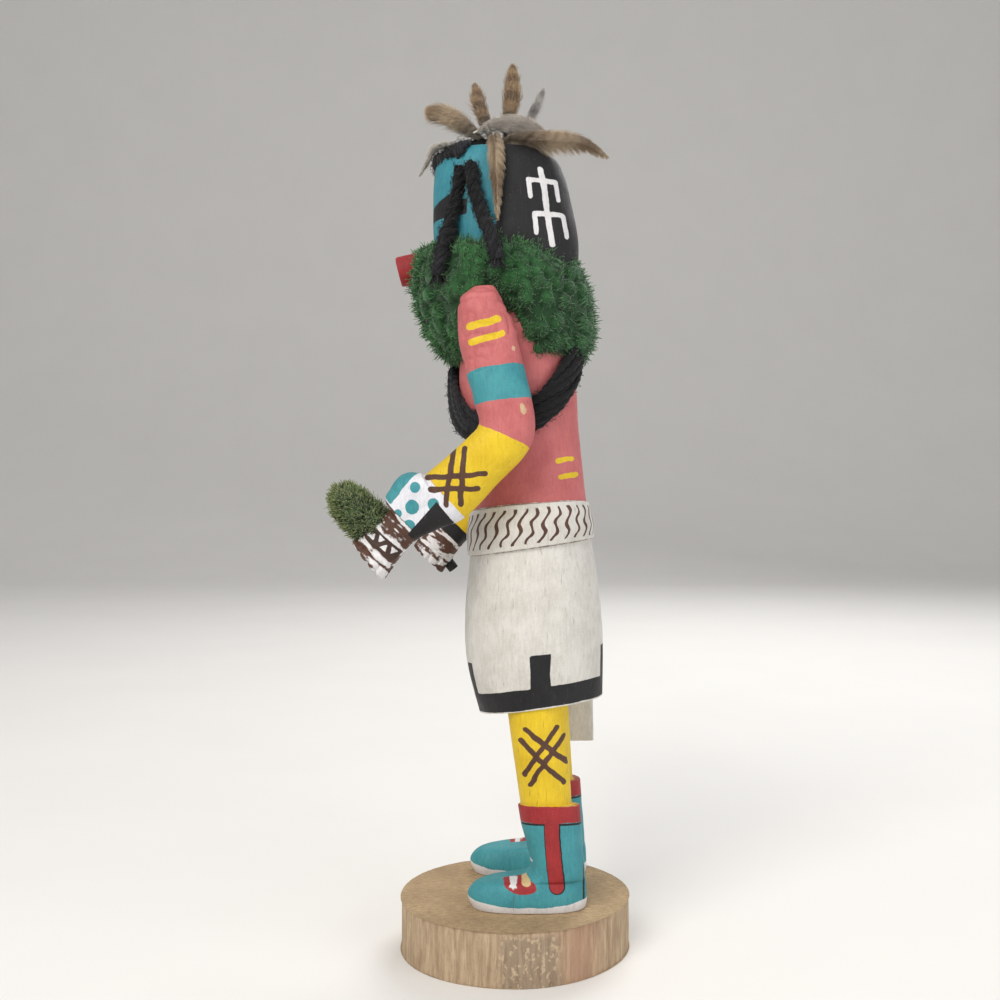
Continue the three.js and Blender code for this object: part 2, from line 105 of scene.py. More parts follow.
def lattice_noise(spots: Array, size: float, seed: int = 0) -> Array:
    """Gives smooth noise at each point.

    Args:
        spots: Points, in mm.
        size: The size of the noise's lumps, in mm.
        seed: Chooses the pattern.

    Returns:
        A value from -1 to 1 for each point.
    """
    scaled = spots / size
    cell = np.floor(scaled).astype(np.int64)
    part = scaled - cell
    part = part * part * (3 - 2 * part)
    total = np.zeros(len(spots))
    for corner in range(8):
        step = np.array([corner & 1, corner >> 1 & 1, corner >> 2 & 1])
        weight = np.prod(np.where(step, part, 1 - part), axis=1)
        node = cell + step
        mixed = node[:, 0] * 374761393 + node[:, 1] * 668265263 + node[:, 2] * 1440662683 + seed * 69069
        mixed = (mixed ^ (mixed >> 13)) & 0x7FFFFFFF
        mixed = (mixed * 1274126177) & 0x7FFFFFFF
        mixed = (mixed ^ (mixed >> 15)) & 0xFFFF
        total += weight * (mixed / 32767.5 - 1)
    return total


def layered_noise(spots: Array, size: float, seed: int = 0, layers: int = 3) -> Array:
    """Adds finer and finer noise.

    Args:
        spots: Points, in mm.
        size: The size of the largest lumps, in mm.
        seed: Chooses the pattern.
        layers: How many sizes are added.

    Returns:
        A value of about -1 to 1 for each point.
    """
    return sum(0.55 ** i * lattice_noise(spots, size / 2 ** i, seed + 17 * i) for i in range(layers)) / 1.6


def smooth_route(points: Sequence[Sequence[float]], count: int) -> Array:
    """Runs a smooth curve through points.

    Args:
        points: The points, in mm.
        count: How many points the result has.

    Returns:
        The points of the curve, evenly spread over the given spans.
    """
    route = np.asarray(points, float)
    padded = np.vstack([2 * route[0] - route[1], route, 2 * route[-1] - route[-2]])
    along = np.linspace(0, len(route) - 1, count)
    span = np.minimum(along.astype(int), len(route) - 2)
    part = (along - span)[:, None]
    before, start, end, after = (padded[span + i] for i in range(4))
    leaving = (end - before) / 2
    arriving = (after - start) / 2
    cubic = 2 * (start - end) + leaving + arriving
    square = 3 * (end - start) - 2 * leaving - arriving
    return ((cubic * part + square) * part + leaving) * part + start


def unit(vectors: Array) -> Array:
    """Scales each vector to length 1."""
    return vectors / np.maximum(np.linalg.norm(vectors, axis=-1, keepdims=True), 1e-9)


def signed_power(values: Array, power: float) -> Array:
    """Raises the size of each value to a power and keeps its sign."""
    return np.sign(values) * np.abs(values) ** power


# ---------------------------------------------------------------- meshes


def deselect_all() -> None:
    """Leaves nothing selected, so that an operator acts on the new piece alone."""
    if bpy.context.object and bpy.context.object.mode != "OBJECT":
        bpy.ops.object.mode_set(mode="OBJECT")
    bpy.ops.object.select_all(action="DESELECT")


def read_spots(piece: bpy.types.Object) -> Array:
    """Reads a piece's points in the figure's mm."""
    flat = np.empty(len(piece.data.vertices) * 3)
    piece.data.vertices.foreach_get("co", flat)
    return flat.reshape(-1, 3) / MM - FIGURE_SHIFT


def write_spots(piece: bpy.types.Object, spots: Array) -> None:
    """Writes a piece's points, given in the figure's mm."""
    piece.data.vertices.foreach_set("co", ((spots + FIGURE_SHIFT) * MM).ravel())
    piece.data.update()


def read_normals(piece: bpy.types.Object) -> Array:
    """Reads the direction in which each point of a piece faces."""
    flat = np.empty(len(piece.data.vertices) * 3)
    piece.data.vertex_normals.foreach_get("vector", flat)
    return flat.reshape(-1, 3)


def add_modifier(piece: bpy.types.Object, kind: str, **settings: object) -> None:
    """Adds a modifier and applies it at once.

    Args:
        piece: The object.
        kind: The modifier's type.
        settings: The modifier's values.
    """
    deselect_all()
    piece.select_set(True)
    bpy.context.view_layer.objects.active = piece
    modifier = piece.modifiers.new(kind.title(), kind)
    for name, value in settings.items():
        setattr(modifier, name, value)
    bpy.ops.object.modifier_apply(modifier=modifier.name)


def tidy_shell(piece: bpy.types.Object) -> None:
    """Merges doubles, turns the faces outwards and shades the piece smooth."""
    deselect_all()
    piece.select_set(True)
    bpy.context.view_layer.objects.active = piece
    bpy.ops.object.mode_set(mode="EDIT")
    bpy.ops.mesh.select_all(action="SELECT")
    bpy.ops.mesh.remove_doubles(threshold=1e-6)
    bpy.ops.mesh.normals_make_consistent(inside=False)
    bpy.ops.object.mode_set(mode="OBJECT")
    bpy.ops.object.shade_smooth()


def join_pieces(name: str, pieces: Sequence[bpy.types.Object]) -> bpy.types.Object:
    """Joins objects into one.

    Args:
        name: The name of the result.
        pieces: The objects.

    Returns:
        The joined object.
    """
    deselect_all()
    for piece in pieces:
        piece.select_set(True)
    bpy.context.view_layer.objects.active = pieces[0]
    bpy.ops.object.join()
    joined = bpy.context.object
    joined.name = joined.data.name = name
    return joined


def mesh_from(name: str, spots: Array, quads: Array, caps: Array) -> bpy.types.Object:
    """Makes an object straight from points and faces, for the fibres that no operator can make.

    Args:
        name: The object's name.
        spots: The points, in the figure's mm.
        quads: The four-sided faces.
        caps: The faces that close the ends, all with one number of corners.

    Returns:
        The object.
    """
    mesh = bpy.data.meshes.new(name)
    mesh.vertices.add(len(spots))
    mesh.loops.add(quads.size + caps.size)
    mesh.polygons.add(len(quads) + len(caps))
    mesh.loops.foreach_set("vertex_index", np.concatenate([quads.ravel(), caps.ravel()]).astype(np.int32))
    starts = np.concatenate([np.arange(len(quads)) * 4, quads.size + np.arange(len(caps)) * caps.shape[1]])
    mesh.polygons.foreach_set("loop_start", starts.astype(np.int32))
    mesh.polygons.foreach_set("use_smooth", np.ones(len(starts), bool))
    piece = bpy.data.objects.new(name, mesh)
    bpy.context.scene.collection.objects.link(piece)
    write_spots(piece, spots)
    mesh.validate()
    return piece


def strand_mesh(
    name: str, routes: Array, radii: Array, sides: int = 3, flatness: float = 1.0, ridges: int = 0,
    ridge_turn: float = 0.0,
) -> bpy.types.Object:
    """Makes closed strands of equal point counts, such as barbs, fibres or yarns.

    Args:
        name: The object's name.
        routes: The strands' middle lines, as strands x points x 3, in mm.
        radii: The strands' radii at those points, in mm.
        sides: The corners of a strand's section.
        flatness: The thickness of a section as a share of its width.
        ridges: How many plies show round a strand.
        ridge_turn: How far the plies turn from one point to the next, in radians.

    Returns:
        The object, with an attribute "strand" that holds a number from 0 to 1 for each strand.
    """
    strands, length = radii.shape
    forward = unit(np.gradient(routes, axis=1))
    guide = np.where(np.abs(forward[:, :1, 2:]) > 0.85, [[[0.0, 1.0, 0.0]]], [[[0.0, 0.0, 1.0]]])
    across = unit(np.cross(forward, guide))
    upward = np.cross(across, forward)
    angles = 2 * np.pi * np.arange(sides) / sides
    swell = np.ones((length, sides))
    if ridges:
        swell += 0.13 * np.cos(ridges * angles[None, :] + ridge_turn * np.arange(length)[:, None])
    ring = (
        across[:, :, None, :] * np.cos(angles)[None, None, :, None]
        + upward[:, :, None, :] * np.sin(angles)[None, None, :, None] * flatness
    )
    spots = routes[:, :, None, :] + ring * (radii[:, :, None] * swell[None])[..., None]
    index = np.arange(strands * length * sides).reshape(strands, length, sides)
    turned = np.roll(index, -1, axis=2)
    quads = np.stack([index[:, :-1], turned[:, :-1], turned[:, 1:], index[:, 1:]], axis=-1).reshape(-1, 4)
    caps = np.concatenate([index[:, 0, ::-1], index[:, -1]])
    piece = mesh_from(name, spots.reshape(-1, 3), quads[:, ::-1], caps[:, ::-1])
    shade = np.random.default_rng(SEED + strands).random(strands)
    add_values(piece, "strand", np.repeat(shade, length * sides))
    add_values(piece, "tip", np.tile(np.repeat(np.linspace(0, 1, length), sides), strands))
    return piece


def add_values(piece: bpy.types.Object, name: str, values: Array) -> None:
    """Stores one number for each point of a piece under a name."""
    layer = piece.data.attributes.get(name) or piece.data.attributes.new(name, "FLOAT", "POINT")
    layer.data.foreach_set("value", np.asarray(values, np.float32))


def add_tints(piece: bpy.types.Object, name: str, tints: Array) -> None:
    """Stores one linear colour for each point of a piece under a name."""
    layer = piece.data.attributes.new(name, "FLOAT_COLOR", "POINT")
    full = np.column_stack([tints, np.ones(len(tints))]).astype(np.float32)
    layer.data.foreach_set("color", full.ravel())


# ---------------------------------------------------------------- carved forms


def cut_across(
    height: float, front: float, back: float, width: float, slope: float = 0.0, cant: float = 0.0,
    squareness: float = 2.3, x: float = 0.0,
) -> Array:
    """Describes a cut across a carved form between its front and its back.

    Args:
        height: The height of its middle, in mm.
        front: The y of its front.
        back: The y of its back.
        width: Its width.
        slope: How much it rises towards the back.
        cant: How much it rises towards the doll's left.
        squareness: 2 for an oval, more for a squarer outline.
        x: The x of its middle.

    Returns:
        The cut's eight numbers.
    """
    rise = slope * (back - front) / 2
    return np.array([front, height - rise, back, height + rise, x, width, cant, squareness])


def limb_cut(
    front: Tuple[float, float], back: Tuple[float, float], x: float, width: float, squareness: float = 2.5,
) -> Array:
    """Describes a cut across a limb between two points of its outline, each given by y and z."""
    return np.array([front[0], front[1], back[0], back[1], x, width, 0.0, squareness])


def outline(cut: Array, sides: int, grow: float = 0.0) -> Array:
    """Draws the outline of a cut.

    Args:
        cut: The cut's eight numbers.
        sides: How many points the outline has.
        grow: How far it is pushed out.

    Returns:
        The points.
    """
    front_y, front_z, back_y, back_z, x, width, cant, squareness = cut
    middle = np.array([x, (front_y + back_y) / 2, (front_z + back_z) / 2])
    across = np.array([width / 2 + grow, 0.0, cant * width / 2])
    along = np.array([0.0, back_y - front_y, back_z - front_z]) / 2
    along *= 1 + grow / np.linalg.norm(along)
    angles = 2 * np.pi * (np.arange(sides) + 0.5) / sides
    power = 2 / squareness
    return (
        middle + signed_power(np.cos(angles), power)[:, None] * across
        + signed_power(np.sin(angles), power)[:, None] * along
    )


def fine_rings(cuts: Sequence[Array], sides: int, spacing: float, rims: Tuple[float, float] = (0, 0)) -> Array:
    """Puts smooth rings between cuts, a given distance apart.

    Args:
        cuts: The cuts, in order.
        sides: How many points a ring has.
        spacing: The most that a point moves from one ring to the next, in mm.
        rims: How far from the first and the last ring an extra ring keeps that edge crisp, or 0.

    Returns:
        The rings, as rings x sides x 3.
    """
    rings = [outline(cut, sides) for cut in cuts]
    counts = [
        max(1, math.ceil(np.linalg.norm(b - a, axis=1).max() / spacing)) for a, b in zip(rings, rings[1:])
    ]
    fine = smooth_route(cuts, 1 + 24 * (len(cuts) - 1))
    places = [i + step / count for i, count in enumerate(counts) for step in range(count)] + [len(cuts) - 1]
    result = []
    for place in places:
        low = min(int(place * 24), len(fine) - 2)
        part = place * 24 - low
        result.append(outline(fine[low] * (1 - part) + fine[low + 1] * part, sides))
    if rims[0]:
        result.insert(1, result[0] + unit(result[1] - result[0]) * rims[0])
    if rims[1]:
        result.insert(-1, result[-1] + unit(result[-2] - result[-1]) * rims[1])
    return np.array(result)


def inset_rings(ring: Array, shares: Sequence[float], rise: float = 0.0) -> Array:
    """Makes smaller copies of a ring about its middle, each a share of its size, shifted by rise."""
    middle = ring.mean(axis=0)
    return np.array([middle + (ring - middle) * share + [0, 0, rise] for share in shares])


def carve_through(name: str, rings: Array, levels: int = 2) -> bpy.types.Object:
    """Extrudes a disc from ring to ring and rounds it with subdivision.

    Args:
        name: The object's name.
        rings: The rings, in the figure's mm.
        levels: How many times the form is subdivided.

    Returns:
        The closed form.
    """
    deselect_all()
    bpy.ops.mesh.primitive_circle_add(vertices=rings.shape[1], radius=MM, fill_type="NGON")
    piece = bpy.context.object
    piece.name = piece.data.name = name
    bpy.ops.object.mode_set(mode="EDIT")
    for number, ring in enumerate((rings + FIGURE_SHIFT) * MM):
        if number:
            bpy.ops.mesh.extrude_region_move()
        shape = bmesh.from_edit_mesh(piece.data)
        cap = next(face for face in shape.faces if face.select)
        for corner, spot in zip(cap.loops, ring):
            corner.vert.co = spot
        bmesh.update_edit_mesh(piece.data)
    bpy.ops.object.mode_set(mode="OBJECT")
    tidy_shell(piece)
    if levels:
        add_modifier(piece, "SUBSURF", levels=levels, render_levels=levels)
    bpy.ops.object.shade_smooth()
    return piece


def move_along_normals(piece: bpy.types.Object, amount: Callable[[Array], Array]) -> None:
    """Raises or sinks a piece's surface.

    Args:
        piece: The object.
        amount: Gives the move of each point outwards, in mm, from its place in the figure.
    """
    spots = read_spots(piece)
    write_spots(piece, spots + read_normals(piece) * amount(spots)[:, None])


def carved_by_hand(spots: Array) -> Array:
    """The slight flats and waves that a knife leaves, in mm."""
    return 0.16 * layered_noise(spots, 9.0, 3) + 0.035 * layered_noise(spots * [1, 1, 0.35], 1.3, 5)


# ---------------------------------------------------------------- shaders


class Shader:
    """Builds one procedural material, node by node."""

    def __init__(self, name: str) -> None:
        """Starts a material with a plain surface."""
        self.material = bpy.data.materials.new(name)
        self.material.use_nodes = True
        self.nodes = self.material.node_tree.nodes
        self.links = self.material.node_tree.links
        self.surface = self.nodes["Principled BSDF"]
        self.place = self.nodes.new("ShaderNodeTexCoord").outputs["Object"]

    def feed(self, socket: bpy.types.NodeSocket, value: object) -> None:
        """Links a socket to another, or sets its value."""
        if isinstance(value, bpy.types.NodeSocket):
            self.links.new(value, socket)
        else:
            socket.default_value = value

    def noise(
        self, size: float, stretch: Point = (1, 1, 1), detail: float = 4, rough: float = 0.55,
        warp: float = 0.0,
    ) -> bpy.types.NodeSocket:
        """Adds noise.

        Args:
            size: The size of its lumps, in mm.
            stretch: How much finer it is along each axis.
            detail: How many finer layers it has.
            rough: How strong they are.
            warp: How much it swirls.

        Returns:
            A socket from 0 to 1.
        """
        mapping = self.nodes.new("ShaderNodeMapping")
        mapping.inputs["Scale"].default_value = [part / (size * MM) for part in stretch]
        self.links.new(self.place, mapping.inputs["Vector"])
        texture = self.nodes.new("ShaderNodeTexNoise")
        self.links.new(mapping.outputs["Vector"], texture.inputs["Vector"])
        texture.inputs["Scale"].default_value = 1.0
        texture.inputs["Detail"].default_value = detail
        texture.inputs["Roughness"].default_value = rough
        texture.inputs["Distortion"].default_value = warp
        return texture.outputs["Fac"]

    def value_of(self, name: str) -> bpy.types.NodeSocket:
        """Reads a number that the piece stores for each point."""
        attribute = self.nodes.new("ShaderNodeAttribute")
        attribute.attribute_name = name
        return attribute.outputs["Fac"]

    def tint_of(self, name: str) -> bpy.types.NodeSocket:
        """Reads a colour that the piece stores for each point."""
        attribute = self.nodes.new("ShaderNodeAttribute")
        attribute.attribute_name = name
        return attribute.outputs["Color"]

    def calc(self, kind: str, first: object, second: object = 0.0) -> bpy.types.NodeSocket:
        """Works out a number from one or two others."""
        node = self.nodes.new("ShaderNodeMath")
        node.operation = kind
        self.feed(node.inputs[0], first)
        self.feed(node.inputs[1], second)
        return node.outputs[0]

    def between(
        self, value: object, low: float, high: float, bottom: float = 0.0, top: float = 1.0,
    ) -> bpy.types.NodeSocket:
        """Maps low to bottom and high to top, and holds the value between them."""
        node = self.nodes.new("ShaderNodeMapRange")
        for socket, part in zip(node.inputs, (value, low, high, bottom, top)):
            self.feed(socket, part)
        return node.outputs["Result"]

    def mix(self, share: object, first: object, second: object) -> bpy.types.NodeSocket:
        """Mixes two colours."""
        node = self.nodes.new("ShaderNodeMix")
        node.data_type = "RGBA"
        for index, part in ((0, share), (6, first), (7, second)):
            self.feed(node.inputs[index], (*part, 1.0) if isinstance(part, tuple) else part)
        return node.outputs[2]

    def bump(self, height: object, depth: float, strength: float = 1.0) -> None:
        """Gives the surface a fine relief.

        Args:
            height: The relief, from 0 to 1.
            depth: How deep it is, in mm.
            strength: How much of it shows.
        """
        node = self.nodes.new("ShaderNodeBump")
        node.inputs["Distance"].default_value = depth * MM
        node.inputs["Strength"].default_value = strength
        self.feed(node.inputs["Height"], height)
        self.links.new(node.outputs["Normal"], self.surface.inputs["Normal"])

    def finish(self, colour: object, roughness: object, sheen: float = 0.0) -> bpy.types.Material:
        """Sets the surface.

        Args:
            colour: Its colour.
            roughness: Its roughness.
            sheen: How much it shines softly at its edges, as fibres do.

        Returns:
            The material.
        """
        self.feed(self.surface.inputs["Base Color"], colour)
        self.feed(self.surface.inputs["Roughness"], roughness)
        self.surface.inputs["Specular IOR Level"].default_value = 0.35
        self.surface.inputs["Sheen Weight"].default_value = sheen
        self.surface.inputs["Sheen Roughness"].default_value = 0.5
        return self.material


@dataclass(frozen=True)
class Coat:
    """One colour of paint: its name, its colour, the thinner or darker tone in it, and its edge."""

    name: str
    colour: Colour
    tone: Colour
    ragged: float = 0.5


PINK = Coat("coat_pink", rgb(193, 107, 106), rgb(168, 84, 86))
TURQUOISE = Coat("coat_turquoise", rgb(66, 146, 152), rgb(46, 118, 130))
MASK_BLUE = Coat("coat_mask_blue", rgb(58, 138, 148), rgb(34, 106, 126))
BLACK = Coat("coat_black", rgb(27, 26, 28), rgb(15, 15, 17), 0.35)
# Painted shade in the grooves at the belt's edges, with a little dirt in it.
BELT_SHADE_AND_DIRT = Coat("coat_shade_and_dirt", rgb(150, 138, 124), rgb(120, 108, 96), 0.8)
YELLOW = Coat("coat_yellow", rgb(222, 190, 36), rgb(196, 160, 26))
RED = Coat("coat_red", rgb(160, 44, 46), rgb(124, 30, 36))
BROWN = Coat("coat_brown", rgb(88, 58, 44), rgb(58, 38, 32))
WHITE = Coat("coat_white", rgb(222, 220, 220), rgb(190, 188, 188))
GUARD_WHITE = Coat("coat_guard", rgb(222, 222, 226), rgb(192, 192, 200))
PANEL = Coat("coat_panel", rgb(66, 46, 38), rgb(44, 32, 28))
MARKS = Coat("coat_marks", rgb(222, 220, 220), rgb(190, 188, 188), 0.4)
BEIGE = Coat("coat_beige", rgb(205, 180, 130), rgb(180, 150, 105))
BARE_WOOD = Coat("coat_bare", rgb(205, 175, 140), rgb(170, 138, 104), 1.2)
GROUND_WHITE = Coat("ground", rgb(210, 207, 200), rgb(178, 173, 164))


class PaintedWood:
    """Brush-painted soft wood, whose grain shows through its coats."""

    def __init__(self, name: str, ground: Coat, coats: Sequence[Coat]) -> None:
        """Builds the material.

        Args:
            name: The material's name.
            ground: The coat that covers everything.
            coats: The coats over it, in the order in which they are painted.
        """
        self.coats = list(coats)
        shader = Shader(name)
        wobble = shader.calc("SUBTRACT", shader.noise(1.7, detail=3), 0.5)
        streak = shader.noise(0.8, stretch=(1, 1, 0.2), detail=5, rough=0.75)
        patch = shader.noise(7.0, detail=4)
        fleck = shader.noise(0.5, detail=3, rough=0.7)
        crack = shader.noise(0.55, stretch=(1, 1, 0.07), detail=2)
        worn = shader.calc("ADD", shader.calc("MULTIPLY", streak, 0.4), shader.calc("MULTIPLY", patch, 0.35))
        worn = shader.calc("ADD", worn, shader.calc("MULTIPLY", fleck, 0.25))
        thin = shader.between(worn, 0.42, 0.64, 0, 0.85)
        colour = shader.mix(thin, ground.colour, ground.tone)
        for coat in self.coats:
            edge = shader.calc("ADD", shader.value_of(coat.name), shader.calc("MULTIPLY", wobble, coat.ragged))
            covered = shader.between(edge, -0.07, 0.07)
            colour = shader.mix(covered, colour, shader.mix(thin, coat.colour, coat.tone))
        colour = shader.mix(shader.between(crack, 0.66, 0.74, 0, 0.4), colour, rgb(70, 60, 52))
        colour = shader.mix(shader.between(fleck, 0.68, 0.76, 0, 0.3), colour, rgb(235, 228, 216))
        rubbed = shader.between(shader.noise(3.2, detail=6, rough=0.75), 0.735, 0.76, 0.0, 0.85)
        colour = shader.mix(rubbed, colour, BARE_WOOD.colour)
        relief = shader.calc("ADD", shader.calc("MULTIPLY", streak, 0.55), shader.calc("MULTIPLY", fleck, 0.45))
        shader.bump(relief, 0.2, 0.8)
        self.material = shader.finish(colour, shader.between(patch, 0.3, 0.7, 0.52, 0.68))


class Brush:
    """Paints a piece: it keeps how deep inside each coat's edge every point lies, in mm."""

    def __init__(self, piece: bpy.types.Object) -> None:
        """Takes up a piece to paint."""
        self.piece = piece
        self.spots = read_spots(piece)
        self.facing = read_normals(piece)
        self.depths: Dict[str, Array] = {}

    def lay(self, coat: Coat, depth: Array, where: Optional[Array] = None) -> None:
        """Lays a coat where depth is above 0.

        Args:
            coat: The paint.
            depth: How deep inside the coat's edge each point lies, in mm.
            where: The points that the brush can reach, or None for all.
        """
        if where is not None:
            depth = np.where(where, depth, -9.0)
        before = self.depths.get(coat.name)
        self.depths[coat.name] = depth if before is None else np.maximum(before, depth)

    def take_off(self, coat: Coat, depth: Array) -> None:
        """Removes a coat where depth is above 0."""
        self.depths[coat.name] = np.minimum(self.depths[coat.name], -depth)

    def side(self, sign: int, least: float = 0.15) -> Array:
        """The points that face one side of the doll: 1 for its left, -1 for its right."""
        return self.facing[:, 0] * sign > least

    def stroke(
        self, coat: Coat, route: Sequence[Tuple[float, float]], width: float, where: Optional[Array] = None,
        wander: float = 0.25, flat: Optional[Array] = None,
    ) -> None:
        """Paints a round-ended stroke on a side, along points given by y and z.

        Args:
            coat: The paint.
            route: The stroke's middle line.
            width: Its width, in mm.
            where: The points that the brush can reach, or None for all.
            wander: How unsteady the hand is, in mm.
            flat: Two numbers for each point to use in place of its y and z.
        """
        flat = self.spots[:, 1:] if flat is None else flat
        wide = np.column_stack([flat, np.zeros(len(flat))])
        flat = flat + wander * np.column_stack([lattice_noise(wide, 2.6, 11), lattice_noise(wide, 2.6, 29)])
        nearest = np.full(len(flat), 1e9)
        for start, end in zip(route, route[1:]):
            start, end = np.array(start), np.array(end)
            part = np.clip((flat - start) @ (end - start) / max((end - start) @ (end - start), 1e-9), 0, 1)
            nearest = np.minimum(nearest, np.linalg.norm(flat - start - part[:, None] * (end - start), axis=1))
        self.lay(coat, width / 2 - nearest, where)

    def patch(
        self, coat: Coat, corners: Sequence[Tuple[float, float]], where: Optional[Array] = None,
        flat: Optional[Array] = None,
    ) -> None:
        """Paints a patch whose corners go round it and are given by y and z."""
        flat = self.spots[:, 1:] if flat is None else flat
        points = np.array(corners, float)
        inside = np.zeros(len(flat), bool)
        nearest = np.full(len(flat), 1e9)
        for start, end in zip(points, np.roll(points, -1, axis=0)):
            crosses = (start[1] > flat[:, 1]) != (end[1] > flat[:, 1])
            reach = (end[0] - start[0]) * (flat[:, 1] - start[1]) / (end[1] - start[1] + 1e-12) + start[0]
            inside ^= crosses & (flat[:, 0] < reach)
            part = np.clip((flat - start) @ (end - start) / max((end - start) @ (end - start), 1e-9), 0, 1)
            nearest = np.minimum(nearest, np.linalg.norm(flat - start - part[:, None] * (end - start), axis=1))
        self.lay(coat, np.where(inside, nearest, -nearest), where)

    def oval(
        self, coat: Coat, middle: Tuple[float, float], half: Tuple[float, float], where: Optional[Array] = None,
        tilt: float = 0.0, flat: Optional[Array] = None,
    ) -> None:
        """Paints an oval about a middle given by y and z, turned by tilt."""
        flat = self.spots[:, 1:] if flat is None else flat
        away = flat - middle
        turned = np.column_stack([
            away[:, 0] * math.cos(tilt) + away[:, 1] * math.sin(tilt),
            -away[:, 0] * math.sin(tilt) + away[:, 1] * math.cos(tilt),
        ])
        self.lay(coat, (1 - np.linalg.norm(turned / half, axis=1)) * min(half), where)

    def dry(self, finish: PaintedWood) -> None:
        """Stores the coats on the piece and gives it its material."""
        for coat in finish.coats:
            depth = self.depths.get(coat.name, np.full(len(self.spots), -9.0))
            add_values(self.piece, coat.name, np.clip(depth, -3.0, 3.0))
        self.piece.data.materials.clear()
        self.piece.data.materials.append(finish.material)


def mount(piece: bpy.types.Object, nodes: Sequence[str]) -> None:
    """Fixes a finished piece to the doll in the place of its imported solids, and logs it.

    Args:
        piece: The piece.
        nodes: The solids that it stands for.
    """
    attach(piece, "root")
    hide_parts(*nodes)
    low = np.array([list(corner) for corner in piece.bound_box]).min(axis=0) / MM
    high = np.array([list(corner) for corner in piece.bound_box]).max(axis=0) / MM
    log.info(
        "%s: %d faces, from %s to %s mm", piece.name, len(piece.data.polygons), low.round(1), high.round(1)
    )


# ---------------------------------------------------------------- the base


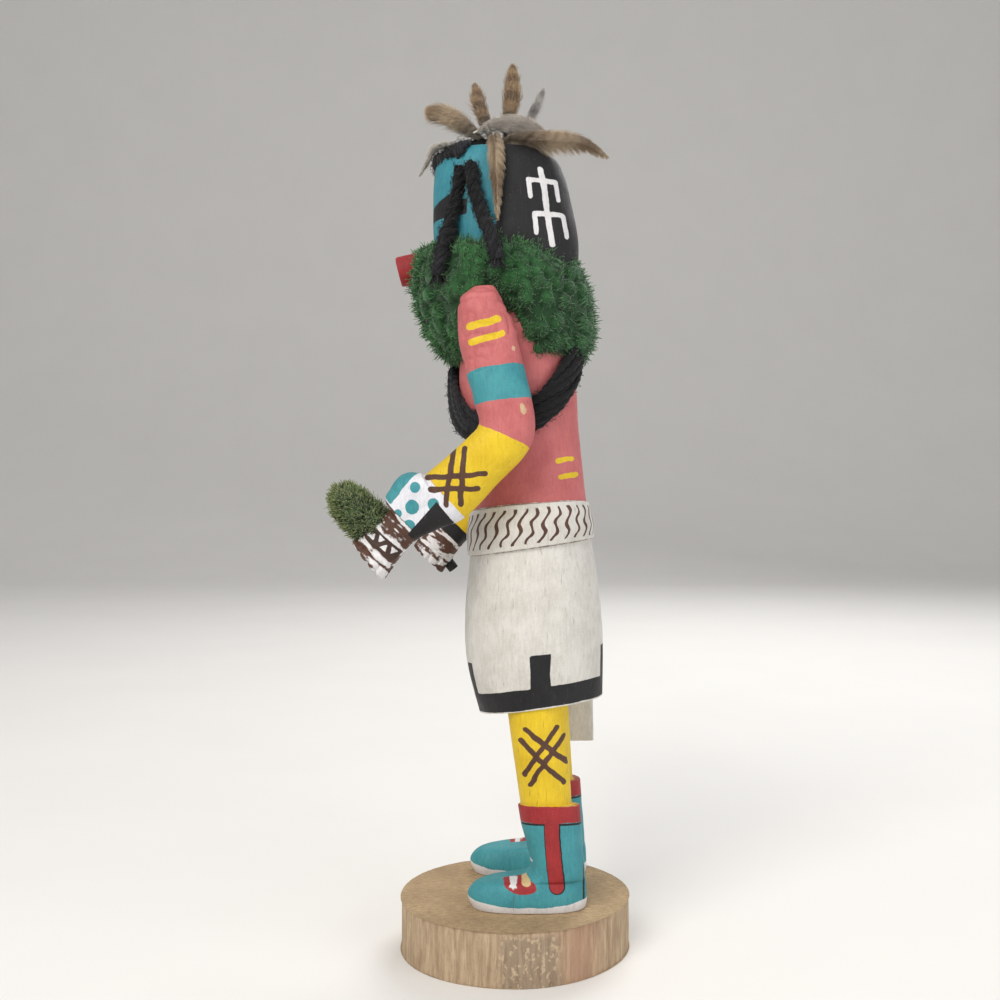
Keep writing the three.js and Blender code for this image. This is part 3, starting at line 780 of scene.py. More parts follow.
@dataclass
class LogSlice:
    """The slice of log that the doll stands on, sawn on its faces, with its bark peeled off."""

    length: float = 71.0
    width: float = 64.6
    thickness: float = 16.0
    rim: float = 0.8
    corners: int = 120

    def make_finish(self) -> bpy.types.Material:
        """Makes the wood: sawn fibres above, straight grain and scraps of bark round the side."""
        shader = Shader("sawn_and_peeled_log")
        fibre = shader.noise(0.8, stretch=(1, 0.35, 1), detail=6, rough=0.75)
        cloud = shader.noise(13.0, detail=5)
        dust = shader.noise(0.45, detail=2)
        top = shader.mix(shader.between(fibre, 0.36, 0.66), rgb(150, 125, 93), rgb(188, 163, 126))
        top = shader.mix(shader.between(cloud, 0.4, 0.7, 0, 0.6), top, rgb(140, 116, 88))
        top = shader.mix(shader.between(dust, 0.6, 0.75, 0, 0.5), top, rgb(205, 184, 150))
        grain = shader.noise(1.5, stretch=(1, 1, 0.12), detail=6, rough=0.7)
        fine = shader.noise(0.5, stretch=(1, 1, 0.1), detail=3)
        side = shader.mix(shader.between(grain, 0.36, 0.66), rgb(152, 128, 101), rgb(196, 173, 143))
        side = shader.mix(shader.between(fine, 0.6, 0.72, 0, 0.5), side, rgb(120, 98, 78))
        # painted shade: the side turns darker and redder towards the doll's back, where it faces away from the key
        # light
        side = shader.mix(shader.value_of("painted_side_shade"), side, rgb(160, 118, 96))
        bark = shader.mix(shader.between(grain, 0.3, 0.7), rgb(120, 104, 90), rgb(142, 126, 108))
        spots = shader.between(shader.noise(1.2, stretch=(1, 1, 0.75), detail=1), 0.54, 0.62)
        bark = shader.mix(spots, bark, rgb(190, 170, 140))
        frayed = shader.calc("MULTIPLY", shader.calc("SUBTRACT", shader.noise(1.4, detail=4), 0.5), 1.3)
        edge = shader.calc("ADD", shader.value_of("bark"), frayed)
        side = shader.mix(shader.between(edge, 0.15, 0.85, 0, 0.6), side, bark)
        colour = shader.mix(shader.value_of("side"), top, side)
        shader.bump(shader.calc("ADD", fibre, grain), 0.35, 0.8)
        return shader.finish(colour, shader.between(dust, 0.3, 0.7, 0.72, 0.88))

    def rim_at(self, angle: Array, inset: float) -> Array:
        """Gives the outline of the slice at an angle, as x and y."""
        uneven = 1 + 0.02 * np.cos(2 * angle + 2.09) + 0.004 * np.sin(5 * angle)
        return np.column_stack([
            (self.width / 2 - inset) * uneven * np.cos(angle),
            (self.length / 2 - inset) * uneven * np.sin(angle),
        ])

    def build(self) -> bpy.types.Object:
        """Makes the slice.

        Returns:
            The finished object.
        """
        deselect_all()
        bpy.ops.mesh.primitive_cylinder_add(
            vertices=self.corners, radius=self.width / 2 * MM, depth=self.thickness * MM,
            location=(0, 0, self.thickness / 2 * MM), end_fill_type="NGON",
        )
        piece = bpy.context.object
        piece.name = piece.data.name = "log_slice"
        bpy.ops.object.transform_apply(location=True, rotation=True, scale=True)
        shape = piece.data
        for vertex in shape.vertices:
            angle = math.atan2(vertex.co.y, vertex.co.x)
            vertex.co.x, vertex.co.y = self.rim_at(np.array([angle]), 0)[0] * MM
        bpy.ops.object.mode_set(mode="EDIT")
        bpy.ops.mesh.select_mode(type="FACE")
        for step in range(9):
            bpy.ops.mesh.select_all(action="DESELECT")
            edit = bmesh.from_edit_mesh(shape)
            for face in edit.faces:
                face.select = len(face.verts) > 4
            bpy.ops.mesh.inset(thickness=(self.rim if step == 0 else 3.4) * MM)
        bpy.ops.mesh.select_all(action="DESELECT")
        edit = bmesh.from_edit_mesh(shape)
        for face in edit.faces:
            face.select = abs(face.normal.z) < 0.5
        bpy.ops.mesh.subdivide(number_cuts=1)
        bpy.ops.object.mode_set(mode="OBJECT")
        add_modifier(piece, "BEVEL", width=0.5 * MM, segments=2, limit_method="ANGLE")
        add_modifier(piece, "SUBSURF", levels=2, render_levels=2)
        bpy.ops.object.shade_smooth()
        self.weather(piece)
        piece.data.materials.append(self.make_finish())
        mount(piece, ["base"])
        return piece

    def weather(self, piece: bpy.types.Object) -> None:
        """Cuts the grain, the saw's marks and the chips, and marks where bark is left."""
        spots = read_spots(piece) + FIGURE_SHIFT
        facing = read_normals(piece)
        side = np.clip((0.75 - np.abs(facing[:, 2])) / 0.3, 0, 1)
        angle = np.arctan2(spots[:, 1], spots[:, 0])
        around = np.column_stack([angle * 34, spots[:, 2] * 0.1, np.zeros(len(spots))])
        grain = 0.22 * layered_noise(around, 1.6, 31) + 0.2 * lattice_noise(around, 6.0, 33)
        saw = 0.07 * layered_noise(spots * [1, 0.3, 0], 1.5, 35)
        nick = np.zeros(len(spots))
        for place, width in ((-0.03, 0.03), (0.33, 0.022)):
            nick += np.exp(-((angle - place) / width) ** 2) * np.clip(3.2 - spots[:, 2], 0, 2.0) * 0.45
        bark = np.clip(1.2 - np.abs((angle - 0.13) / 0.3) ** 4 + 0.35 * layered_noise(spots, 3.2, 37), 0, 1)
        bark *= np.clip((15.4 - spots[:, 2]) / 1.2, 0, 1)
        move = side * (grain - nick + 0.3 * bark - 0.35) + (1 - side) * (saw - 0.07)
        write_spots(piece, spots + facing * move[:, None] - FIGURE_SHIFT)
        add_values(piece, "side", side)
        add_values(piece, "bark", bark * side)
        # painted shade, darker and redder, on the part of the side towards the doll's back
        add_values(piece, "painted_side_shade", np.exp(-((angle - 0.62) / 0.22) ** 2) * 0.55)


# ---------------------------------------------------------------- the carved figure


MASK_CUTS = [
    cut_across(206, -22, 16.5, 36),
    cut_across(211, -24.6, 19.6, 42),
    cut_across(222, -25.6, 20.2, 43.5),
    cut_across(234, -25.8, 18, 42.5),
    cut_across(243.2, -25.4, 15.6, 40),
    cut_across(247.6, -24, 13, 36),
    cut_across(249.7, -20, 9, 28),
    cut_across(250.5, -10, 0, 10),
]
KILT_CUTS = [
    cut_across(HEM, -11.1, 27.7, 49, 0.146, 0.11),
    cut_across(92.9, -15.2, 27.8, 52, 0.14, 0.08),
    cut_across(108.8, -15.6, 26.6, 51, 0.14, 0.05),
    cut_across(BELT_BOTTOM, -14.1, 24.2, 48, 0.145, 0.04),
]
BELT_CUTS = [
    cut_across(BELT_BOTTOM + 0.1, -14.9, 25, 50, 0.145, 0.04),
    cut_across(131.95, -15.3, 25, 50.6, 0.115, 0.06),
    cut_across(BELT_TOP, -14.2, 23.4, 48.6, 0.083, 0.08),
]
TORSO_CUTS = [
    cut_across(BELT_TOP + 0.1, -13.6, 22.7, 45.4, 0.083, 0.08),
    cut_across(147, -14.2, 21.8, 40, 0.04, 0.02),
    cut_across(163, -15.9, 20.3, 37),
    cut_across(180, -17.6, 19.3, 39.5),
    cut_across(195, -15.4, 17.4, 41, squareness=2.6),
    cut_across(203, -12, 14, 34),
    cut_across(208, -10, 12, 28),
]


def edge_height(cut: Array, spots: Array) -> Array:
    """The height of a cut's plane over each point, in mm."""
    front_y, front_z, back_y, back_z, _, _, cant, _ = cut
    share = (spots[:, 1] - front_y) / (back_y - front_y)
    return front_z + share * (back_z - front_z) + cant * spots[:, 0]


@dataclass
class CaseMask:
    """The mask that covers the whole head: blue before, black behind, with a white sign each side."""

    sides: int = 72
    spacing: float = 2.0
    split_y: float = -5.0

    def build(self) -> bpy.types.Object:
        """Carves and paints the mask.

        Returns:
            The finished object.
        """
        rings = fine_rings(MASK_CUTS, self.sides, self.spacing)
        top = inset_rings(rings[-1], (0.5, 0.1))
        bottom = inset_rings(rings[0], (0.3, 0.9))
        piece = carve_through("case_mask", np.concatenate([bottom, rings, top]))
        move_along_normals(piece, carved_by_hand)
        self.paint(piece)
        mount(piece, ["body"])
        return piece

    def paint(self, piece: bpy.types.Object) -> None:
        """Paints the mask."""
        brush = Brush(piece)
        spots = brush.spots
        wave = 0.5 * lattice_noise(spots, 6.0, 41)
        brush.lay(MASK_BLUE, self.split_y + wave - spots[:, 1])
        brush.lay(BLACK, spots[:, 1] - self.split_y + 0.5 - wave)
        for sign in (1, -1):
            reach = brush.side(sign)
            brush.patch(BLACK, ((-25.6, 226.8), (-19.2, 229.6), (-19.4, 234.2), (-25.6, 231.6)), reach)
            self.paint_sign(brush, reach)
        front = brush.facing[:, 1] < -0.3
        flat = spots[:, [0, 2]]
        for sign in (1, -1):
            corners = [(sign * x, z) for x, z in ((7, 227.2), (19.5, 226.8), (19.5, 231.6), (7, 231.6))]
            brush.patch(BLACK, corners, front, flat)
        coats = [MASK_BLUE, BLACK, WHITE]
        brush.dry(PaintedWood("painted_mask", WHITE, coats))

    @staticmethod
    def paint_sign(brush: Brush, reach: Array) -> None:
        """Paints the upright stroke with its two hooked bars on one side."""
        brush.stroke(WHITE, ((7.5, 241), (8.5, 237), (9.6, 227), (11.2, 218.0)), 1.8, reach, 0.15)
        for left, right, height, drop in ((3.6, 12.2, 237.4, 5.2), (5.4, 14.6, 227.2, 6.0)):
            route = ((left + 0.9, height - drop), (left + 0.3, height - 0.3), (right, height + 0.2),
                     (right + 1.0, height - drop))
            brush.stroke(WHITE, route, 1.5, reach, 0.15)


@dataclass
class Trunk:
    """The kilt, the belt and the bare torso, carved from one piece."""

    sides: int = 80
    spacing: float = 2.1
    border: float = 6.6
    bar_width: float = 6.2
    bar_height: float = 9.6
    bar_turns: Tuple[float, ...] = (0, 66, 114, 180, 246, 294)
    belt_waves: int = 36

    def build(self) -> bpy.types.Object:
        """Carves and paints the trunk.

        Returns:
            The finished object.
        """
        kilt = fine_rings(KILT_CUTS, self.sides, self.spacing, (0.35, 0.3))
        belt = fine_rings(BELT_CUTS, self.sides, self.spacing, (0.3, 0.3))
        torso = fine_rings(TORSO_CUTS, self.sides, self.spacing, (0.3, 0))
        under = inset_rings(kilt[0], (0.2, 0.6, 0.9, 0.985), 0.1)
        over = inset_rings(torso[-1], (0.7, 0.3))
        piece = carve_through("carved_trunk", np.concatenate([under, kilt, belt, torso, over]))
        move_along_normals(piece, carved_by_hand)
        self.paint(piece)
        mount(piece, ["body"])
        return piece

    def paint(self, piece: bpy.types.Object) -> None:
        """Paints the trunk."""
        brush = Brush(piece)
        spots = brush.spots
        above_hem = spots[:, 2] - edge_height(KILT_CUTS[0], spots)
        above_belt = spots[:, 2] - edge_height(BELT_CUTS[0], spots)
        above_top = spots[:, 2] - edge_height(BELT_CUTS[2], spots)
        wave = 0.25 * lattice_noise(spots, 5.0, 43)
        brush.lay(PINK, above_top - 0.25 + wave)
        sides_only = np.abs(brush.facing[:, 2]) < 0.7
        brush.lay(BLACK, np.minimum(above_hem - 0.45 + wave, self.border + wave - above_hem), sides_only)
        turn = np.degrees(np.arctan2(spots[:, 1] - 7.3, spots[:, 0]))
        for middle in self.bar_turns:
            away = (turn - middle + 180) % 360 - 180
            across = np.abs(np.radians(away)) * np.hypot(spots[:, 0], spots[:, 1] - 7.3)
            height = np.minimum(above_hem - 2, self.border + self.bar_height - above_hem + wave)
            brush.lay(BLACK, np.minimum(self.bar_width / 2 + wave - across, height), sides_only)
        self.paint_belt(brush, above_belt, above_top)
        for start, end in (((12.9, 152.7), (17.6, 153.6)), ((13.8, 147.9), (18.6, 148.9))):
            for sign in (1, -1):
                brush.stroke(YELLOW, (start, end), 1.5, brush.side(sign))
        # A thin brownish-grey line along the belt's lower and upper edges: painted shade in the grooves there, with a
        # little real dirt.
        groove = np.minimum(np.abs(above_belt + 0.1), np.abs(above_top - 0.1))
        brush.lay(BELT_SHADE_AND_DIRT, 0.16 - groove + 0.12 * lattice_noise(spots, 2.0, 44))
        brush.dry(PaintedWood("painted_trunk", GROUND_WHITE, [PINK, BLACK, BELT_SHADE_AND_DIRT, BROWN, YELLOW]))

    def paint_belt(self, brush: Brush, above_bottom: Array, above_top: Array) -> None:
        """Paints the brown wavy lines round the belt."""
        spots = brush.spots
        turn = np.arctan2((spots[:, 1] - 5.0) * 1.2, spots[:, 0])
        share = above_bottom / np.maximum(above_bottom - above_top, 1)
        lean = -0.16 * (share - 0.5) * np.clip(1.1 - np.sin(turn), 0, 2)
        sway = 0.033 * np.sin(share * 4.4 * math.pi + 0.8 * np.sin(3 * turn) + 0.5 * np.sin(17 * turn))
        place = (turn + lean + sway) / (2 * math.pi) * self.belt_waves
        away = np.abs(place - np.round(place)) * 2 * math.pi / self.belt_waves * 23.5
        between = np.minimum(share - 0.1, 0.9 - share) * 12
        brush.lay(BROWN, np.minimum(0.56 + 0.16 * lattice_noise(spots, 2.0, 45) + 0.14 * (share - 0.5) - away, between))


@dataclass
class SashEnd:
    """The end of the sash that hangs below the hem at the doll's right."""

    sides: int = 40

    def build(self) -> bpy.types.Object:
        """Carves and paints the sash end.

        Returns:
            The finished object.
        """
        cuts = [
            limb_cut((7, 58.6), (27.2, 58.6), -24.2, 2.6, 6), limb_cut((6.6, 69), (26.9, 69), -23.4, 2.8, 6),
            limb_cut((6.2, 80), (26.6, 80), -22.6, 3, 6),
        ]
        rings = fine_rings(cuts, self.sides, 1.8, (0.25, 0.25))
        ends = inset_rings(rings[0], (0.4, 0.95)), inset_rings(rings[-1], (0.95, 0.4))
        piece = carve_through("sash_end", np.concatenate([ends[0], rings, ends[1]]))
        move_along_normals(piece, lambda spots: 0.1 * layered_noise(spots, 4.0, 47))
        brush = Brush(piece)
        brush.dry(PaintedWood("painted_sash", GROUND_WHITE, []))
        mount(piece, ["body"])
        return piece


@dataclass
class BootedLeg:
    """One yellow leg in its blue boot with a white sole."""

    sign: int = 1
    sides: int = 56
    spacing: float = 1.5
    spacing_of_feet: float = 30.0
    toe: float = -14.5
    heel: float = 21.8
    set_back: float = 2.3
    band: float = 4.9

    def cuts(self) -> Tuple[List[Array], List[Array]]:
        """Gives the cuts of the boot and of the calf."""
        x = self.sign * self.spacing_of_feet / 2
        back = self.set_back if self.sign < 0 else 0.0
        heel = self.heel + back
        lean = 0.19 if self.sign > 0 else 0.1

        def foot(rise: float, toe_in: float, heel_in: float, narrower: float) -> Array:
            """A cut across the foot, at a share of its height."""
            return cut_across(
                SOLE + 0.05 + rise * 8.6, self.toe + toe_in, heel - heel_in, 15.6 - narrower, squareness=2.4, x=x)

        def shaft(height: float, front: float, heel_in: float, width: float, cant: float = 0) -> Array:
            """A cut across the boot's shaft."""
            cut = cut_across(height, front + back, heel - heel_in, width, cant=cant, squareness=2.5, x=x)
            return cut

        boot = [
            foot(0, 1.5, 0.5, 1.2), foot(0.25, 0.3, 0, 0), foot(0.5, 0, 0.1, 0.2), foot(0.76, 1.6, 0.2, 1),
            foot(0.92, 4.4, 0.3, 1.8), foot(1.0, 8.5, 0.4, 2.4), foot(1.05, 13, 0.5, 2),
            shaft(27.3, 2.4, 0.7, 14.4), shaft(29.6, 4.6, 0.8, 15.2), shaft(36, 3.6, 1.3, 16.3),
            shaft(42.3, 1.8, 1.8, 17.4, lean * 0.62), shaft(BOOT_TOP, 0.8, 2.2, 18, lean),
        ]
        calf = [
            cut_across(BOOT_TOP, 1.6 + back, 17.1 + back, 15.5, cant=lean, x=x),
            cut_across(58.3, 0.2 + back, 16.5 + back, 16.2, x=x),
            cut_across(HEM + 6, -3.2 + back, 15 + back, 17.6, x=x),
        ]
        return boot, calf

    def set_in(self, route: Sequence[Tuple[float, float]]) -> List[Tuple[float, float]]:
        """Moves a stroke back with the leg that stands further back."""
        back = self.set_back if self.sign < 0 else 0.0
        return [(y + back, z) for y, z in route]

    def build(self) -> bpy.types.Object:
        """Carves and paints the leg.

        Returns:
            The finished object.
        """
        boot_cuts, calf_cuts = self.cuts()
        boot = fine_rings(boot_cuts, self.sides, self.spacing, (0.3, 0.3))
        calf = fine_rings(calf_cuts, self.sides, self.spacing, (0.3, 0))
        under, over = inset_rings(boot[0], (0.3, 0.9)), inset_rings(calf[-1], (0.6,))
        name = "booted_leg_left" if self.sign > 0 else "booted_leg_right"
        piece = carve_through(name, np.concatenate([under, boot, calf, over]))
        move_along_normals(piece, carved_by_hand)
        self.paint(piece, boot_cuts[-1])
        mount(piece, ["body"])
        return piece

    def paint(self, piece: bpy.types.Object, boot_top: Array) -> None:
        """Paints the leg and its boot."""
        brush = Brush(piece)
        spots = brush.spots
        own = spots - [self.sign * self.spacing_of_feet / 2, 0, 0]
        back = self.set_back if self.sign < 0 else 0.0
        wave = 0.25 * lattice_noise(spots, 4.0, 49)
        under_top = boot_top[1] + boot_top[6] * own[:, 0] - spots[:, 2]
        brush.lay(TURQUOISE, under_top + 0.05)
        brush.lay(BLACK, 0.32 - np.abs(under_top - self.band - 0.4))
        brush.lay(RED, np.minimum(self.band + wave - under_top, under_top + 0.12))
        for sign in (1, -1):
            reach = brush.side(sign, 0.3)
            brush.stroke(BLACK, self.set_in(((10.7, 44.5), (11.2, 36), (12.4, 25.6))), 4.9, reach, 0.12)
            brush.stroke(RED, self.set_in(((10.6, 44.5), (11.1, 36), (12.3, 25.6))), 4.2, reach, 0.15)
        brush.lay(BLACK, np.minimum(0.3 - np.abs(own[:, 1] - 20.6 - back), 44 - spots[:, 2]), brush.side(self.sign, 0.3))
        outer = own[:, 0] * self.sign > 0.5
        brush.oval(RED, (1.4 + back, 25.7), (5.0, 2.2), outer, -0.15)
        brush.oval(BEIGE, (3.2 + back, 26.6), (1.4, 1.1), outer)
        for turn in (0.5, 1.5, 2.5):
            brush.oval(WHITE, (-0.7 + back, 26.0), (1.5, 0.5), outer, turn)
        brush.oval(WHITE, (4.65 + back, 32.4), (0.5, 0.5), outer)
        for stroke in (((3.1, 72.7), (9, 67.9), (15.6, 62.3)), ((1.3, 69.4), (8, 63), (14.4, 56.6)),
                       ((12.2, 73.3), (7.6, 67), (2.8, 59.3)), ((14.4, 70.3), (9.4, 64), (4.3, 56.3))):
            brush.stroke(BROWN, self.set_in(stroke), 1.55, brush.side(self.sign, 0.3))
        edge = 19.4 + 0.0052 * (own[:, 1] - 5) ** 2 + wave
        brush.lay(WHITE, edge - spots[:, 2])
        brush.lay(YELLOW, -under_top - 0.05)
        coats = [TURQUOISE, BLACK, RED, BEIGE, WHITE, YELLOW, BROWN]
        brush.dry(PaintedWood(f"painted_leg_{'left' if self.sign > 0 else 'right'}", GROUND_WHITE, coats))


SHOULDER = (
    ((-12.2, 203.8), (-6.6, 204), 25.6, 6), ((-16.3, 200.4), (-3.9, 200.2), 26, 12.4),
    ((-16.7, 191), (-0.3, 191), 27, 13.8),
)
LEFT_ARM = (
    ((-15.2, 180.8), (2.1, 181.2), 28.4, 14.2), ((-12.2, 169.6), (4.5, 171.2), 30, 14.4),
    ((-10.8, 163.4), (5.5, 161.4), 30.8, 14.6), ((-14, 159.4), (2.6, 154.2), 31, 14.6),
    ((-20.6, 153.4), (-5.4, 145.8), 30.2, 14.4), ((-26.8, 148.2), (-14.8, 136), 29, 13.8),
    ((-32.4, 143), (-23.2, 132.4), 28.6, 13.2), ((-39.4, 135.6), (-30.6, 128.2), 28, 13.4),
    ((-47.8, 128.9), (-38.8, 117.6), 27.4, 14),
)
RIGHT_ARM = (
    ((-14.4, 179.8), (3, 180.2), -28, 14.2), ((-11, 166.4), (5.8, 167.4), -29, 14.4),
    ((-8.8, 157.6), (7, 154.4), -29.4, 14.6), ((-11.4, 152.4), (4.2, 146), -29.2, 14.6),
    ((-16.6, 145.8), (-3, 137), -28.6, 14.2), ((-22.4, 139.4), (-12.4, 129.4), -28, 13.6),
    ((-26.8, 134.4), (-17.4, 125), -27.6, 13.2), ((-34.4, 124.6), (-24.6, 115.2), -27, 13.6),
)
WRIST_GUARD = (
    ((-27.6, 149.2), (-21, 139), 28.6, 15.6), ((-33.8, 148.4), (-26.6, 135), 28.4, 15.2),
    ((-38, 141.6), (-32, 131.6), 28, 14.8),
)


@dataclass
class CarvedArm:
    """One arm with its fist, painted with an armband, a yellow sleeve and a wrist guard."""

    sign: int = 1
    sides: int = 40
    spacing: float = 1.6
    voxel: float = 0.42

    def cuts(self) -> List[Array]:
        """Gives the arm's cuts from its shoulder to its fist."""
        shoulder = [limb_cut(front, back, self.sign * x, width) for front, back, x, width in SHOULDER]
        rest = LEFT_ARM if self.sign > 0 else RIGHT_ARM
        return shoulder + [limb_cut(*cut) for cut in rest]

    def build(self) -> bpy.types.Object:
        """Carves and paints the arm.

        Returns:
            The finished object.
        """
        name = "carved_arm_left" if self.sign > 0 else "carved_arm_right"
        rings = fine_rings(self.cuts(), self.sides, self.spacing, (0, 0.5))
        ends = inset_rings(rings[0], (0.2, 0.6, 0.9)), inset_rings(rings[-1], (0.9, 0.5))
        parts = [carve_through(name, np.concatenate([ends[0], rings, ends[1]]), 1)]
        if self.sign > 0:
            guard = fine_rings([limb_cut(*cut) for cut in WRIST_GUARD], self.sides, self.spacing, (0.4, 0.4))
            caps = inset_rings(guard[0], (0.4, 0.93)), inset_rings(guard[-1], (0.93, 0.4))
            parts.append(carve_through("guard", np.concatenate([caps[0], guard, caps[1]]), 1))
            piece = join_pieces(name, parts)
        else:
            piece = parts[0]
        add_modifier(piece, "REMESH", mode="VOXEL", voxel_size=self.voxel * MM, adaptivity=0.0)
        add_modifier(piece, "SMOOTH", factor=0.5, iterations=2)
        bpy.ops.object.shade_smooth()
        move_along_normals(piece, lambda spots: carved_by_hand(spots) + self.fingers(spots))
        if self.sign > 0:
            move_along_normals(piece, self.stones)
        if self.sign > 0:
            self.paint_left(piece)
        else:
            self.paint_right(piece)
        mount(piece, ["arm_left" if self.sign > 0 else "arm_right"])
        return piece

    def fist_place(self, spots: Array) -> Tuple[Array, Array]:
        """Gives how far down the fist each point lies, and how far from its front to its back.

        Args:
            spots: The points.

        Returns:
            The distance past the wrist, and the distance across the fist from its middle, in mm.
        """
        start, end = self.cuts()[-2][:4], self.cuts()[-1][:4]
        wrist = np.array([start[0] + start[2], start[1] + start[3]]) / 2
        tip = np.array([end[0] + end[2], end[1] + end[3]]) / 2
        down = (tip - wrist) / np.linalg.norm(tip - wrist)
        away = spots[:, 1:] - wrist
        return away @ down, away @ np.array([-down[1], down[0]])

    def fingers(self, spots: Array) -> Array:
        """The grooves between the curled fingers, in mm."""
        down, across = self.fist_place(spots)
        outer = np.clip((spots[:, 0] - self.cuts()[-1][4]) * self.sign / 3 + 0.6, 0, 1)
        lines = sum(np.exp(-((down - place) / 0.42) ** 2) for place in (7.6, 9.5)) * outer
        knuckles = sum(np.exp(-((across - place) / 0.5) ** 2) for place in (-3.4, 0.2, 3.8))
        panel = np.clip(1 - np.abs(down - 5) / 2.2, 0, 1) ** 0.3 * outer * (self.sign > 0)
        rough = 0.3 * layered_noise(spots, 1.6, 59) * np.clip(down / 2.0, 0, 1)
        return -0.6 * lines - 0.6 * knuckles * np.clip((down - 7) / 3, 0, 1) - 0.25 * panel + rough

    def stones(self, spots: Array) -> Array:
        """The rounded stones that stand on top of the wrist guard, in mm."""
        inside = np.clip(self.stone_edge(spots) / 1.5, 0, 1) * (spots[:, 1] > -41) * (spots[:, 2] > 134)
        return inside * (1.0 * np.abs(lattice_noise(spots, 3.4, 63)) ** 0.5 - 0.55)

    def paint_common(self, brush: Brush) -> None:
        """Paints the shoulder, the yellow marks and the armband."""
        spots = brush.spots
        drop = 0.0 if self.sign > 0 else 1.0
        brush.lay(PINK, np.full(len(spots), 3.0))
        out = brush.side(self.sign, 0.0)
        brush.stroke(YELLOW, ((-13.4, 191.2), (-5.2, 193.3)), 2.1, out)
        brush.stroke(YELLOW, ((-12.9, 186.6), (-4, 189.3)), 2.0, out)
        wave = 0.3 * lattice_noise(spots, 5.0, 51)
        y = spots[:, 1]
        upper = 180.6 - drop - 0.0095 * (y - 2.5) ** 2
        lower = 170.6 - drop - 0.0085 * (y - 3.5) ** 2
        brush.lay(TURQUOISE, np.minimum(upper - spots[:, 2], spots[:, 2] - lower) + wave)
        brush.oval(BARE_WOOD, (-0.9, 185.0), (0.5, 0.8), out)
        brush.oval(BARE_WOOD, (1.9, 167.2), (0.8, 1.7), out, 0.2)

    def paint_left(self, piece: bpy.types.Object) -> None:
        """Paints the left arm, with its wrist guard and its fist."""
        brush = Brush(piece)
        self.paint_common(brush)
        spots = brush.spots
        y, z = spots[:, 1], spots[:, 2]
        wave = 0.3 * lattice_noise(spots, 4.0, 53)
        elbow = (159.0 - 0.44 * (y + 1.9)) - z
        wrist = ((y + 20.1) * 0.737 + (z - 141.9) * 0.676)
        brush.lay(YELLOW, np.minimum(elbow * 0.9, wrist) + wave)
        out = brush.side(1, 0.1)
        for start, end in (((-18.1, 155.7), (-20.1, 139.9)), ((-14.7, 156.1), (-16, 140.1)),
                           ((-25.5, 147.6), (-9, 148.7)), ((-24.4, 144.2), (-10.9, 144.5))):
            brush.stroke(BROWN, (start, end), 1.6, out)
        past = -wrist
        brush.lay(GUARD_WHITE, np.minimum(past, 13.6 - past) + 0.3 * wave)
        for middle, radius in (((-29.8, 139.3), 2.0), ((-30.7, 133.8), 1.75), ((-23.7, 140.0), 1.7),
                               ((-28.9, 144.9), 1.5), ((-33.9, 137.4), 1.2)):
            brush.oval(TURQUOISE, middle, (radius, radius * 1.05), out)
        brush.lay(TURQUOISE, np.minimum(self.stone_edge(spots) + 2 * wave, np.minimum(past - 1.0, 13 - past)))
        brush.patch(BLACK, ((-22.8, 140.8), (-17.8, 134.6), (-28.4, 128.4), (-31.2, 131.4)))
        down, across = self.fist_place(spots)
        fist = np.minimum(past - 13.4, 9.0)
        brush.lay(BROWN, fist)
        self.drag_white(brush, fist, down, across)
        face = np.column_stack([across, down])
        facing_out = brush.side(1, 0.35)
        brush.patch(PANEL, ((-5.3, 2.9), (5.6, 2.3), (5.0, 6.9), (-4.6, 7.1)), facing_out, face)
        for number, place in enumerate((-3.9, -1.5, 0.9, 3.3)):
            top, foot = (3.3, 5.3) if number % 2 else (5.9, 3.9)
            corners = ((place - 1.15, top), (place + 1.15, top), (place + 0.1, foot))
            brush.patch(MARKS, corners, facing_out, face)
        coats = [PINK, YELLOW, GUARD_WHITE, TURQUOISE, BROWN, WHITE, BLACK, PANEL, MARKS, BARE_WOOD]
        brush.dry(PaintedWood("painted_arm_left", GROUND_WHITE, coats))

    def paint_right(self, piece: bpy.types.Object) -> None:
        """Paints the right arm, with its black wrist strap and its fist."""
        brush = Brush(piece)
        self.paint_common(brush)
        spots = brush.spots
        y, z = spots[:, 1], spots[:, 2]
        wave = 0.3 * lattice_noise(spots, 4.0, 55)
        elbow = (152.0 - 0.44 * y) - z
        wrist = (y + 19.5) * 0.7 + (z - 131.8) * 0.71
        brush.lay(YELLOW, np.minimum(elbow, wrist) + wave)
        brush.lay(BLACK, np.minimum(-wrist + 0.3, wrist + 4.2))
        out = brush.side(-1, 0.1)
        for start, end in (((-10.5, 152), (-12.5, 136.5)), ((-7, 152), (-8.6, 136.5)),
                           ((-17.4, 144.6), (-2, 145.6)), ((-16.4, 141), (-3.4, 141.4))):
            brush.stroke(BROWN, (start, end), 1.6, out)
        down, across = self.fist_place(spots)
        fist = -wrist - 3.9
        brush.lay(BROWN, fist)
        self.drag_white(brush, fist, down, across)
        coats = [PINK, YELLOW, TURQUOISE, BROWN, WHITE, BLACK, BARE_WOOD]
        brush.dry(PaintedWood("painted_arm_right", GROUND_WHITE, coats))

    @staticmethod
    def stone_edge(spots: Array) -> Array:
        """How far each point lies within the cluster of blue stones on top of the guard, in mm."""
        return 0.45 * (spots[:, 2] - 143.2) - 0.62 * (spots[:, 1] + 30.5) - 0.25 * np.abs(spots[:, 0] - 28.4)

